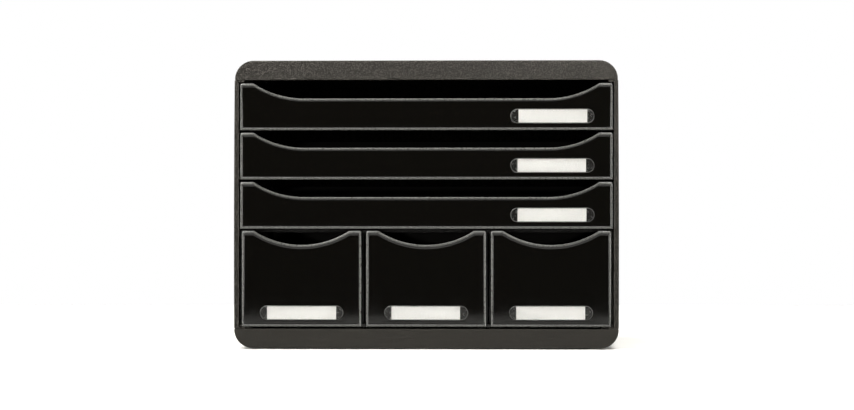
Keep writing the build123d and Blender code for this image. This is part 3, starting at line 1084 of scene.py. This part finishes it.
    def side_fittings(self, shape: Shape, skin_x: float, pocket_y: float) -> None:
        """Add flanges, runners, the shelf's ledge and the small drawers' stop.

        Args:
            shape: Right panel's shape.
            skin_x: X of the skin's inner face.
            pocket_y: Rear end of the pocket behind the skin.
        """
        bay = self.bay
        root_x, root_y = skin_x + self.root, pocket_y + self.pocket_lap
        front_y = -bay.half_depth + self.rail_front
        edge_y = bay.half_depth - self.groove
        flange_x, ledge_x = bay.bay_half - self.flange_reach, bay.bay_half - self.ledge_reach
        low_rail = (bay.bay_half - self.low_rail_reach, front_y, bay.low_seam + self.low_rail_rise)
        ledge_y = -bay.half_depth + self.ledge_front
        ledge_z = bay.shelf_bottom - self.ledge_thickness
        shape.block((flange_x, -edge_y, bay.low_seam),
                    (root_x, edge_y, bay.small_z - self.low_flange_gap))
        shape.block((flange_x, -edge_y, bay.high_seam - self.high_flange),
                    (root_x, edge_y, bay.high_seam))
        for place in ("top", "middle", "bottom"):
            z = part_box(f"{place}_wide_drawer")[0].z
            shape.block((bay.bay_half - self.rail_reach, front_y, z),
                        (root_x, root_y, z + self.rail_thickness))
        shape.block(low_rail, (root_x, root_y, bay.small_z + self.rail_thickness))
        shape.block((ledge_x, ledge_y, ledge_z), (root_x, root_y, bay.shelf_bottom))
        shape.block((ledge_x, bay.stop_y - self.stop_depth, bay.small_z),
                    (root_x, bay.stop_y, bay.shelf_bottom - self.stop_gap))

    def back(self) -> None:
        """Build the back panel, a slab with a shallow sunk field on its outer face."""
        low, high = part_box("back_panel")
        z_low, z_high = self.bay.low_seam, self.bay.high_seam
        soft, field_in, sunk = self.back_soft, self.field_in, self.field_depth
        rows = []
        for inset, y, radius in (
            (soft, low.y, self.back_corner), (0.0, low.y + soft, self.back_corner),
            (0.0, high.y - soft, self.back_corner), (soft, high.y, self.back_corner),
            (field_in, high.y, self.field_corner),
            (field_in + sunk, high.y - sunk, self.field_corner),
        ):
            corners = (low.x + inset, z_low + inset), (high.x - inset, z_high - inset)
            loop = rounded_rectangle(*corners, [radius] * 4, self.corner_steps)
            rows.append(in_plane_y(loop, y))
        shape = Shape()
        shape.stack(np.stack(rows))
        lap_x, lap_y = self.bay.half_width - self.lap_short, high.y - self.lap_step
        shape.block((-lap_x, low.y, low.z), (lap_x, lap_y, z_low + self.lap_height))
        shape.block((-lap_x, low.y, z_high - self.lap_height), (lap_x, lap_y, high.z))
        self.dress(shape, "back_panel", self.finishes.casing)

    def shelf(self) -> None:
        """Build the shelf between the small and the wide drawers.

        Under it run a lip, notched for the partitions, and two guides beside each partition.
        """
        low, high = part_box("middle_shelf")
        floor = self.bay.shelf_bottom
        lip_x = self.bay.bay_half - self.lip_short
        guide_y = self.bay.rear_y - self.guide_short
        shape = Shape()
        shape.block((low.x, low.y, floor), (high.x, high.y, high.z))
        ends = [-lip_x]
        for partition in ("left_partition", "right_partition"):
            wall_low, wall_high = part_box(partition)
            middle = (wall_low.x + wall_high.x) / 2
            ends += [middle - self.guide_gap, middle + self.guide_gap]
            for sign in (-1, 1):
                x_low, x_high = sorted(
                    middle + sign * reach for reach in (self.guide_gap, self.guide_reach)
                )
                shape.block((x_low, -guide_y, low.z), (x_high, guide_y, floor + self.guide_bury))
        for start, end in zip(ends[::2], ends[1::2] + [lip_x]):
            shape.block((start, low.y, floor - self.lip_drop),
                        (end, low.y + self.lip_depth, floor + self.lip_bury))
        self.dress(shape, "middle_shelf", self.finishes.inner)

    def partition(self, node: str) -> None:
        """Build a partition with its runners, stop and front nose.

        Args:
            node: CAD node that it stands for.
        """
        low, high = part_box(node)
        x = (low.x + high.x) / 2
        front_y, stop_y, small_z = -self.bay.half_depth, self.bay.stop_y, self.bay.small_z
        shape = Shape()
        shape.block((x - self.web_half, stop_y - self.stop_depth, low.z),
                    (x + self.web_half, high.y, high.z))
        shape.block((low.x, front_y + self.rail_front, small_z),
                    (high.x, high.y, small_z + self.rail_thickness))
        shape.block((x - self.stop_half, stop_y - self.stop_depth, small_z),
                    (x + self.stop_half, stop_y, high.z - self.stop_short))
        shape.block((x - self.nose_half, low.y, small_z),
                    (x + self.nose_half, front_y + self.nose_depth, small_z + self.nose_height))
        self.dress(shape, node, self.finishes.inner)

    def foot(self, node: str) -> None:
        """Build a round foot: circles that draw in at the lower edge by a quarter round.

        Args:
            node: CAD node that it stands for.
        """
        low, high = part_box(node)
        middle = np.array([(low.x + high.x) / 2, (low.y + high.y) / 2])
        radius = (high.x - low.x) / 2
        ring = arc(0.0, 0.0, 1.0, 0, 360, self.foot_steps)[:-1]
        levels = [(radius - short, low.z + moved)
                  for moved, short in quarter_round(self.foot_edge, self.edge_steps)]
        levels.append((radius, high.z))
        shape = Shape()
        shape.stack(np.stack([in_plane_z(middle + ring * reach, z) for reach, z in levels]))
        self.dress(shape, node, self.finishes.rubber, Slot.RUBBER)

    def build(self) -> None:
        """Build every piece of the casing."""
        self.hood("top_cover", 1, self.finishes.casing)
        self.hood("base", -1, self.finishes.base)
        for side in Side:
            self.side_panel(side)
        self.back()
        self.shelf()
        for node in ("left_partition", "right_partition"):
            self.partition(node)
        for end in ("front", "rear"):
            for side in Side:
                self.foot(f"{end}_{side.name.lower()}_foot")


@dataclass
class Drawer:
    """One drawer: its beaded front, tray, label card and label window.

    In the names of sizes, half is half a width, in and drop are how far a part lies in from
    an end or under a top, lap and bury are how far it runs into another, and steps are counts.
    """

    bay: Bay
    finishes: Finishes
    name: str
    crest_y: float
    width: float
    centre_x: float
    shoulder: float
    scoop_run: float
    scoop_drop: float
    scoop_slope: float
    lug_reach: float
    holder_x: float
    tray_set_in: float
    # Plate and its outline
    bead_height: float = 0.8 * MM
    plate: float = 2.2 * MM
    plate_soft: float = 0.3 * MM
    corner: float = 2.0 * MM
    foot_corner: float = 0.7 * MM
    least_corner: float = 0.15 * MM
    foot_steps: int = 3
    corner_steps: int = 5
    scoop_steps: int = 22
    # Bead, and where its crest takes the lighter grey of the painted highlight
    bead_rise: float = 1.3 * MM
    crest_in: float = 1.2 * MM
    crest_flat: float = 0.4 * MM
    brow: float = 0.45 * MM
    side_slope: float = 0.8 * MM
    foot_slope: float = 1.3 * MM
    shoulder_slope: float = 2.8 * MM
    sheen_depth: float = 0.2 * MM
    crest_steps: int = 9
    slope_rows: int = 13
    sheen_from: int = 3
    # Chamfer at the shoulders, as millimetres under the crest and in from the edge
    chamfer_drops: Sequence[float] = (0.0, 0.03, 0.42, 0.55, 0.8, 1.3)
    chamfer_ins: Sequence[float] = (1.2, 1.13, 0.24, 0.1, 0.04, 0.0)
    # Face and label holder
    face_hem: float = 0.2 * MM
    holder_rise: float = 13.0 * MM
    holder_half: float = 38.7 * MM
    holder_radius: float = 6.7 * MM
    holder_depth: float = 1.2 * MM
    holder_lip: float = 0.3 * MM
    holder_steps: int = 10
    soft_steps: int = 3
    # Tray
    tray_lift: float = 3.2 * MM
    tray_top_drop: float = 2.0 * MM
    tray_wall: float = 1.8 * MM
    tray_corner: float = 4.0 * MM
    tray_fillet: float = 3.0 * MM
    tray_draft: float = 0.8 * MM
    tray_edge: float = 0.8 * MM
    tray_steps: int = 4
    fillet_steps: int = 6
    front_corner: float = 0.5 * MM
    front_lap: float = 0.02 * MM
    post_gap: float = 0.2 * MM
    rim_soft: float = 0.5 * MM
    bury: float = 1.2 * MM
    under_scoop: float = 2.5 * MM
    # Skids and stop lugs
    skid_in: float = 2.8 * MM
    skid_half: float = 1.5 * MM
    skid_short: float = 8.0 * MM
    skid_drop: float = 1.0 * MM
    skid_bury: float = 0.4 * MM
    lug_travel: float = 190.3 * MM
    lug_flat: float = 2.5 * MM
    lug_ramp: float = 7.0 * MM
    lug_top: float = 7.0 * MM
    lug_height: float = 8.0 * MM
    # Card, window and its barbed tabs
    card_soft: float = 0.06 * MM
    window_gap: float = 0.1 * MM
    window_proud: float = 0.25 * MM
    window_soft: float = 0.6 * MM
    window_lift: float = 0.05 * MM
    window_steps: int = 12
    window_soft_steps: int = 4
    tab_in: float = 3.2 * MM
    tab_half: float = 0.8 * MM
    tab_rise: float = 2.0 * MM
    tab_through: float = 0.6 * MM
    tab_bury: float = 0.5 * MM
    tab_soft: float = 0.1 * MM
    barb_reach: float = 1.3 * MM
    barb_gap: float = 0.1 * MM

    def __post_init__(self) -> None:
        """Read the drawer's place from the frame."""
        self.node = f"{self.name}_drawer"
        low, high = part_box(self.node)
        self.foot_z = low.z
        self.height = high.z - low.z
        self.rear_y = high.y
        self.face_y = self.crest_y + self.bead_height
        self.plate_y = self.face_y + self.plate

    def front_loop(self, side: float, foot: float, shoulder: float, scoop: float) -> np.ndarray:
        """Outline of the front, drawn in by its own amount along each stretch.

        The scoop is an arc of radius (run^2 + drop^2) / (2 drop), which touches the level
        floor of the scoop. Drawing in moves it outwards about the same middle, and it ends
        where it meets the shoulder's line.

        Args:
            side: Amount at the sides.
            foot: Amount at the lower edge.
            shoulder: Amount at the two shoulders.
            scoop: Amount along the finger scoop.

        Returns:
            Points (x, z), counter-clockwise from the lower right corner.
        """
        half, top = self.width / 2 - side, self.height - shoulder
        radius = (self.scoop_run**2 + self.scoop_drop**2) / (2 * self.scoop_drop)
        middle_x = self.width / 2 - self.shoulder - self.scoop_run
        middle_z = self.height - self.scoop_drop + radius
        radius += scoop
        knee = math.degrees(math.asin((top - middle_z) / radius))
        corner = max(self.corner - side, self.least_corner)
        foot_corner = max(self.foot_corner - max(side, foot), self.least_corner)
        right = np.concatenate([
            arc(half - foot_corner, foot + foot_corner, foot_corner, -90, 0, self.foot_steps),
            [(half, self.holder_rise)],
            arc(half - corner, top - corner, corner, 0, 90, self.corner_steps),
            arc(middle_x, middle_z, radius, knee, -90, self.scoop_steps),
        ])
        left = right[::-1] * np.array([-1.0, 1.0])
        if middle_x < MM:
            left = left[1:]
        return np.concatenate([right, left])

    def at(self, outline: np.ndarray, y: float) -> np.ndarray:
        """Put a local outline in the drawer's place at depth y."""
        return in_plane_y(outline + np.array([self.centre_x, self.foot_z]), y)

    def fall(self, depth: float) -> np.ndarray:
        """How far the outline is drawn in where the bead has fallen by a depth.

        The bead falls along two parabolas, one bent outwards over the brow and one bent
        inwards down to the face. They meet at their steepest, 2 h / s for the bead's height
        h and the slope's width s, so the brow's share of the fall is its width over s.

        Args:
            depth: Fall from the crest, up to the bead's height.

        Returns:
            Amounts at the sides, the lower edge, the shoulders and the scoop.
        """
        spans = np.array([self.side_slope, self.foot_slope, self.shoulder_slope, self.scoop_slope])
        turn_at = self.bead_height * self.brow / spans
        over = self.brow * np.sqrt(depth / turn_at)
        left = np.maximum(self.bead_height - depth, 0) / (self.bead_height - turn_at)
        under = spans - (spans - self.brow) * np.sqrt(left)
        return self.crest_in + self.crest_flat + np.where(depth < turn_at, over, under)

    def front(self, shape: Shape) -> None:
        """Add the front: plate, bead and face.

        The bead is carried round the outline: a quarter ellipse from the edge to the crest,
        which at the shoulders is a soft chamfer, a narrow flat, and the fall to the face. Its
        crest takes a lighter satin grey, a painted highlight in place of the lights' sheen.

        Args:
            shape: Drawer's shape.
        """
        turn = sweep(0, 90, self.crest_steps)
        rounds = self.crest_in * (1 - np.cos(turn))
        drops = self.bead_rise * (1 - np.sin(turn))
        chamfer = np.interp(
            drops, np.array(self.chamfer_drops) * MM, np.array(self.chamfer_ins) * MM
        )
        soft = self.plate_soft
        edge = [self.at(self.front_loop(soft, soft, soft, soft), self.plate_y),
                self.at(self.front_loop(0, 0, 0, 0), self.plate_y - soft)]
        crest = [self.at(self.front_loop(i, i, c, i), self.crest_y + d)
                 for i, c, d in zip(rounds, chamfer, drops)]
        share = (1 - np.cos(np.linspace(0, np.pi, self.slope_rows))) / 2
        depths = np.sort(np.append(share * self.bead_height, self.sheen_depth))
        slope = [self.at(self.front_loop(*self.fall(d)), self.crest_y + d) for d in depths]
        sheen_end = int(np.searchsorted(depths, self.sheen_depth)) + 1
        shape.grid(np.stack(edge + crest[:self.sheen_from + 1]))
        shape.cap(edge[0])
        # The crest's faces take the lighter bead finish, a painted highlight.
        shape.grid(np.stack(crest[self.sheen_from:] + slope[:sheen_end]), Zone.RIM)
        shape.grid(np.stack(slope[sheen_end - 1:]))
        self.face(shape, self.fall(self.bead_height))

    def face(self, shape: Shape, inset: np.ndarray) -> None:
        """Add the flat face with the label recess in it.

        The face is two polygons, over and under a level line through the recess's middle.

        Args:
            shape: Drawer's shape.
            inset: How far the face's edge is drawn in: sides, foot, shoulders and scoop.
        """
        edge = self.front_loop(*inset)
        hem = self.front_loop(*(inset + self.face_hem))
        shape.grid(np.stack([self.at(edge, self.face_y), self.at(hem, self.face_y)]))
        rings = quarter_round(self.holder_lip, self.soft_steps) + [(self.holder_depth, 0.0)]
        rows = [self.strip(out, self.holder_steps, self.face_y + down) for down, out in rings]
        shape.grid(np.stack(rows))
        shape.cap(rows[-1])
        outer = rows[0]
        hem = self.at(hem, self.face_y)
        right = self.foot_steps + 1
        left = len(hem) - right - 1
        half = len(outer) // 2
        shape.cap(np.concatenate([hem[right:left + 1], outer[half::-1]]))
        shape.cap(np.concatenate([hem[left:], hem[:right + 1], outer[:1], outer[:half - 1:-1]]))

    def strip(self, out: float, steps: int, y: float) -> np.ndarray:
        """Outline of the label holder at depth y, drawn out by an amount."""
        outline = stadium(self.holder_half + out, self.holder_radius + out, steps)
        return self.at(outline + np.array([self.holder_x, self.holder_rise]), y)

    def tray(self, shape: Shape) -> None:
        """Add the tray as one skin: underside, outer wall, rim, inner wall and floor.

        Each row is a rounded rectangle. Its last two points lie in the front wall, which is
        buried in the plate and stays under the scoop, while the other points rise to the
        tray's full height. The walls lean in towards the floor, and the inner fillet is a
        quarter circle.

        Args:
            shape: Drawer's shape.
        """
        half = self.width / 2 - self.tray_set_in
        inner = half - self.tray_wall
        low, top = self.foot_z + self.tray_lift, self.foot_z + self.height - self.tray_top_drop
        floor = low + self.tray_wall
        post = inner - self.tray_corner - self.tray_draft - self.post_gap
        outer_wall = (half, self.plate_y - self.bury, self.rear_y)
        inner_wall = (inner, self.plate_y + self.front_lap, self.rear_y - self.tray_wall)

        def row(
            wall: tuple[float, float, float], inset: float, lean: float, z: float | np.ndarray
        ) -> np.ndarray:
            """Outline of a wall at one height, with two front points at its end.

            Args:
                wall: Half its width, its front and its rear.
                inset: How far it is drawn in.
                lean: How far it leans in at the rear and the sides.
                z: Its height.

            Returns:
                Points (x, y, z).
            """
            reach, front, rear = wall
            corner = self.tray_corner - inset
            side = reach - inset - lean
            outline = rounded_rectangle(
                (-side, front + inset), (side, rear - inset - lean),
                [self.front_corner, corner, corner, self.front_corner], self.tray_steps,
            )
            outline = np.concatenate([outline, [(-post, front + inset), (post, front + inset)]])
            return in_plane_z(outline + np.array([self.centre_x, 0.0]), z)

        rim = np.full(len(row(outer_wall, 0.0, 0.0, 0.0)), top)
        rim[-2:] = self.foot_z + self.height - self.scoop_drop - self.under_scoop
        lips = [(moved, rim - short)
                for moved, short in quarter_round(self.rim_soft, self.soft_steps)]
        rows = [row(outer_wall, short, self.tray_draft, low + moved)
                for moved, short in quarter_round(self.tray_edge, self.soft_steps)]
        rows += [row(outer_wall, inset, 0.0, z) for inset, z in lips]
        rows += [row(inner_wall, -inset, 0.0, z) for inset, z in lips[::-1]]
        rows += [row(inner_wall, moved, self.tray_draft, floor + short)
                 for moved, short in quarter_round(self.tray_fillet, self.fillet_steps)]
        shape.stack(np.stack(rows))
        skid_y = self.rear_y - self.skid_short
        for sign in (-1, 1):
            skid = self.centre_x + sign * (half - self.skid_in)
            shape.block((skid - self.skid_half, -skid_y, low - self.skid_drop),
                        (skid + self.skid_half, skid_y, low + self.skid_bury))
            self.lug(shape, sign, half, top)

    def lug(self, shape: Shape, sign: int, half: float, top: float) -> None:
        """Add a ramped stop lug to one wall of the tray.

        Args:
            shape: Drawer's shape.
            sign: Side of the lug, as the sign of X.
            half: Half the tray's width.
            top: Height of the tray's rim.
        """
        y = self.bay.stop_y + self.lug_travel
        root, reach = half - self.tray_draft, half + self.lug_reach
        outline = np.array([(root, y), (reach, y), (reach, y + self.lug_flat),
                            (root, y + self.lug_ramp)])
        outline[:, 0] = self.centre_x + sign * outline[:, 0]
        high = top - self.lug_top
        shape.stack(np.stack([in_plane_z(outline, z) for z in (high - self.lug_height, high)]))

    def card(self) -> None:
        """Build the label card, a thin slip with slightly rounded edges."""
        node = f"{self.name}_label_card"
        shape = Shape()
        shape.block(*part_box(node), self.card_soft, 1)
        shape.piece(f"{node}_slip", self.name, [self.finishes.card], [node])

    def window(self) -> None:
        """Build the clear window: a strip with round smoky ends and softly rounded edges.

        Its face is three polygons, a rectangle over the card and a half disc at each end.
        Behind it, two barbed tabs come through the plate.
        """
        node = f"{self.name}_label_window"
        front = self.face_y - self.window_proud
        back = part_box(f"{self.name}_label_card")[0].y - self.window_lift
        rows = [self.strip(-self.window_gap, self.window_steps, back)]
        rows += [self.strip(-self.window_gap - moved, self.window_steps, front + short)
                 for moved, short in quarter_round(self.window_soft, self.window_soft_steps)]
        shape = Shape()
        shape.grid(np.stack(rows), Zone.EDGE)
        shape.cap(rows[0])
        face = rows[-1]
        side = len(face) // 4
        right = np.concatenate([face[-side:], face[:side + 1]])
        left = face[side + 1:-side]
        shape.cap(right, Zone.RIM)
        shape.cap(left, Zone.RIM)
        shape.cap(np.stack([right[-1], left[0], left[-1], right[0]]))
        middle_z, end_y = self.foot_z + self.holder_rise, self.plate_y + self.tab_through
        low_z, high_z = middle_z - self.tab_rise, middle_z + self.tab_rise
        for sign in (-1, 1):
            tab = self.centre_x + self.holder_x + sign * (self.holder_half - self.tab_in)
            shape.block((tab - self.tab_half, self.plate_y - self.tab_bury, low_z),
                        (tab + self.tab_half, end_y, high_z), self.tab_soft)
            barb = sorted((tab - sign * self.tab_half, tab + sign * self.barb_reach))
            shape.block((barb[0], self.plate_y + self.barb_gap, low_z),
                        (barb[1], end_y, high_z), self.tab_soft)
        finishes = [self.finishes.window, self.finishes.window_end, self.finishes.window_edge]
        shape.piece(f"{node}_lens", self.name, finishes, [node])

    def build(self) -> None:
        """Build the drawer, its card and its window."""
        shape = Shape()
        self.front(shape)
        self.tray(shape)
        finishes = [self.finishes.drawer, self.finishes.rim]
        shape.piece(f"{self.node}_moulding", self.name, finishes, [self.node])
        self.card()
        self.window()


def make_drawers(bay: Bay, finishes: Finishes) -> list[Drawer]:
    """Set out the three wide and the three small drawers.

    Args:
        bay: Shared sizes.
        finishes: Every material.

    Returns:
        The drawers, not yet built.
    """
    crest_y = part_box("top_wide_drawer")[0].y
    wide_gap, small_gaps, small_gap = 1.1 * MM, 14.0 * MM, 4.4 * MM
    wide = 2 * (bay.bay_half - wide_gap)
    small = (2 * bay.bay_half - small_gaps) / 3
    pitch, shoulder, holder_in = small + small_gap, 11.5 * MM, 55.5 * MM
    drawers = [
        Drawer(
            bay, finishes, f"{place}_wide", crest_y, width=wide, centre_x=0.0,
            shoulder=12.6 * MM, scoop_run=46.7 * MM, scoop_drop=13.8 * MM, scoop_slope=1.4 * MM,
            lug_reach=3.7 * MM, holder_x=wide / 2 - holder_in, tray_set_in=1.3 * MM,
        )
        for place in ("top", "middle", "bottom")
    ]
    drawers += [
        Drawer(
            bay, finishes, f"{place}_small", crest_y, width=small, centre_x=step * pitch,
            shoulder=shoulder, scoop_run=small / 2 - shoulder, scoop_drop=12.8 * MM,
            scoop_slope=2.6 * MM, lug_reach=2.1 * MM, holder_x=0.0, tray_set_in=2.0 * MM,
        )
        for step, place in enumerate(("left", "centre", "right"), -1)
    ]
    return drawers


@dataclass(frozen=True)
class Lamp:
    """A soft rectangular light.

    Its size is width and height, its power is in watts, its spread is the angle in degrees
    that its grid lets through, and mirrored says whether shiny faces show it.
    """

    name: str
    place: Point
    aim: Point
    size: tuple[float, float]
    power: float
    spread: float = 180.0
    mirrored: bool = True
    colour: Colour = (1.0, 0.985, 0.95)

    def hang(self) -> None:
        """Add the light, turned to the point that it faces."""
        data = bpy.data.lights.new(self.name, "AREA")
        data.shape = "RECTANGLE"
        data.size, data.size_y = self.size
        data.energy = self.power
        data.color = self.colour
        data.spread = math.radians(self.spread)
        towards = np.asarray(self.aim, float) - np.asarray(self.place, float)
        towards /= np.linalg.norm(towards)
        heading = math.atan2(towards[0], -towards[1]) + math.pi
        thing = bpy.data.objects.new(self.name, data)
        thing.location = self.place
        thing.rotation_euler = (math.acos(-towards[2]), 0.0, heading)
        thing.visible_camera = False
        thing.visible_glossy = self.mirrored
        bpy.context.scene.collection.objects.link(thing)


@dataclass
class Studio:
    """Camera, lights, table and backdrop."""

    table: Material
    distance: float = 2.5
    yaw: float = 1.85
    image_width: int = 854
    frame_width: float = 0.7867
    object_left: float = 0.97
    object_up: float = 0.65
    sensor: float = 36.0
    front_y: float = -0.1345
    middle_z: float = 0.1336
    bank_aim: Point = (0.0, -0.1, 0.13)
    table_low: tuple[float, float] = (-1.1, -0.89)
    table_high: tuple[float, float] = (1.1, 0.95)
    table_corner: float = 0.1
    table_steps: int = 8
    table_thickness: float = 1.5 * MM
    dim: Colour = (0.1, 0.096, 0.088)
    bright: Colour = (1.0, 1.0, 1.0)

    def camera(self) -> None:
        """Place a level camera in front, a little to the right.

        It is turned about the middle of the fronts, whose plane fills the photo's width. Its
        shift sets the box as many pixels left of and over the middle as the photo does.
        """
        data = bpy.data.cameras.new("camera")
        data.sensor_width = self.sensor
        data.lens = self.sensor * self.distance / self.frame_width
        data.shift_x = self.object_left / self.image_width
        data.shift_y = -self.object_up / self.image_width
        turn = math.radians(self.yaw)
        thing = bpy.data.objects.new("camera", data)
        away = self.distance * math.cos(turn)
        thing.location = (self.distance * math.sin(turn), self.front_y - away, self.middle_z)
        thing.rotation_euler = (math.radians(90), 0.0, turn)
        bpy.context.scene.collection.objects.link(thing)
        bpy.context.scene.camera = thing

    def floor(self) -> None:
        """Lay a pale table top with a softly rounded outline under the box."""
        radii = [self.table_corner] * 4
        outline = rounded_rectangle(self.table_low, self.table_high, radii, self.table_steps)
        shape = Shape()
        shape.stack(np.stack([in_plane_z(outline, z) for z in (-self.table_thickness, 0.0)]))
        mesh = bpy.data.meshes.new("table_top")
        mesh.from_pydata(np.concatenate(shape.points).tolist(), [], shape.faces)
        mesh.materials.append(self.table)
        table = bpy.data.objects.new("table_top", mesh)
        bpy.context.scene.collection.objects.link(table)

    def world(self) -> None:
        """Make a white backdrop for the camera and a dim even light for all else."""
        world = bpy.data.worlds.new("studio")
        bpy.context.scene.world = world
        world.use_nodes = True
        nodes = Nodes(world.node_tree)
        dim = world.node_tree.nodes["Background"]
        bright = nodes.add("ShaderNodeBackground")
        for shader, colour in ((dim, self.dim), (bright, self.bright)):
            nodes.feed(colour, shader.inputs["Color"])
            nodes.feed(1.0, shader.inputs["Strength"])
        seen = nodes.add("ShaderNodeLightPath").outputs["Is Camera Ray"]
        mix = nodes.add("ShaderNodeMixShader")
        for source, target in zip((seen, dim.outputs[0], bright.outputs[0]), mix.inputs):
            nodes.feed(source, target)
        nodes.feed(mix.outputs[0], world.node_tree.nodes["World Output"].inputs["Surface"])

    def lamps(self) -> list[Lamp]:
        """List the lights: keys, glows, a wash, low strips and large banks.

        Returns:
            The lights, in the order in which they are hung.
        """
        aim, strip, glow = self.bank_aim, (0.2, 0.3), (0.25, 0.12)
        return [
            Lamp("left_key", (-0.45, -0.5, 0.62), (-0.16, -0.13, 0.3), (0.55, 0.4), 2.6, 60.0),
            Lamp("right_key", (0.35, -0.7, 0.7), (0.15, -0.13, 0.33), (0.3, 0.2), 0.82, 50.0),
            Lamp("left_top_glow", (-0.4, -1.3, 0.55), (-0.1, -0.13, 0.31), glow, 0.046, 18.0),
            Lamp("right_top_glow", (0.4, -1.3, 0.55), (0.12, -0.13, 0.31), glow, 0.104, 18.0),
            Lamp("floor_wash", (0.0, -0.7, 1.5), (0.0, -0.6, 0.0), (1.6, 0.5), 7.2, 60.0),
            Lamp("left_low_strip", (-1.0, -0.42, 0.12), (-0.05, -0.13, 0.02), strip, 0.26, 30.0),
            Lamp("right_low_strip", (1.0, -0.42, 0.12), (0.05, -0.13, 0.02), strip, 0.34, 30.0),
            Lamp("left_front_bank", (-1.7, -1.1, 0.45), aim, (0.8, 0.8), 7.3),
            Lamp("right_front_bank", (1.7, -1.1, 0.45), aim, (0.8, 0.8), 7.3),
            Lamp("left_bank", (-2.1, 0.1, 0.9), aim, (0.9, 1.4), 16.0),
            Lamp("right_bank", (2.1, 0.1, 0.9), aim, (0.9, 1.4), 16.0),
            Lamp("top_bank", (0.0, 0.6, 1.8), (0.0, 0.45, 0.0), (2.6, 1.0), 105.0, mirrored=False),
        ]

    def build(self) -> None:
        """Set up the whole studio."""
        self.camera()
        self.floor()
        self.world()
        for lamp in self.lamps():
            lamp.hang()
        settings = bpy.context.scene.view_settings
        settings.view_transform = "Standard"
        settings.look = "None"


def main() -> None:
    """Build the studio, the casing and the drawers in order."""
    logging.basicConfig(level=logging.INFO, format="%(name)s: %(message)s")
    finishes = make_finishes()
    Studio(finishes.table).build()
    bay = Bay.from_frame()
    Casing(bay, finishes).build()
    for drawer in make_drawers(bay, finishes):
        drawer.build()


if __name__ == "__main__":
    main()
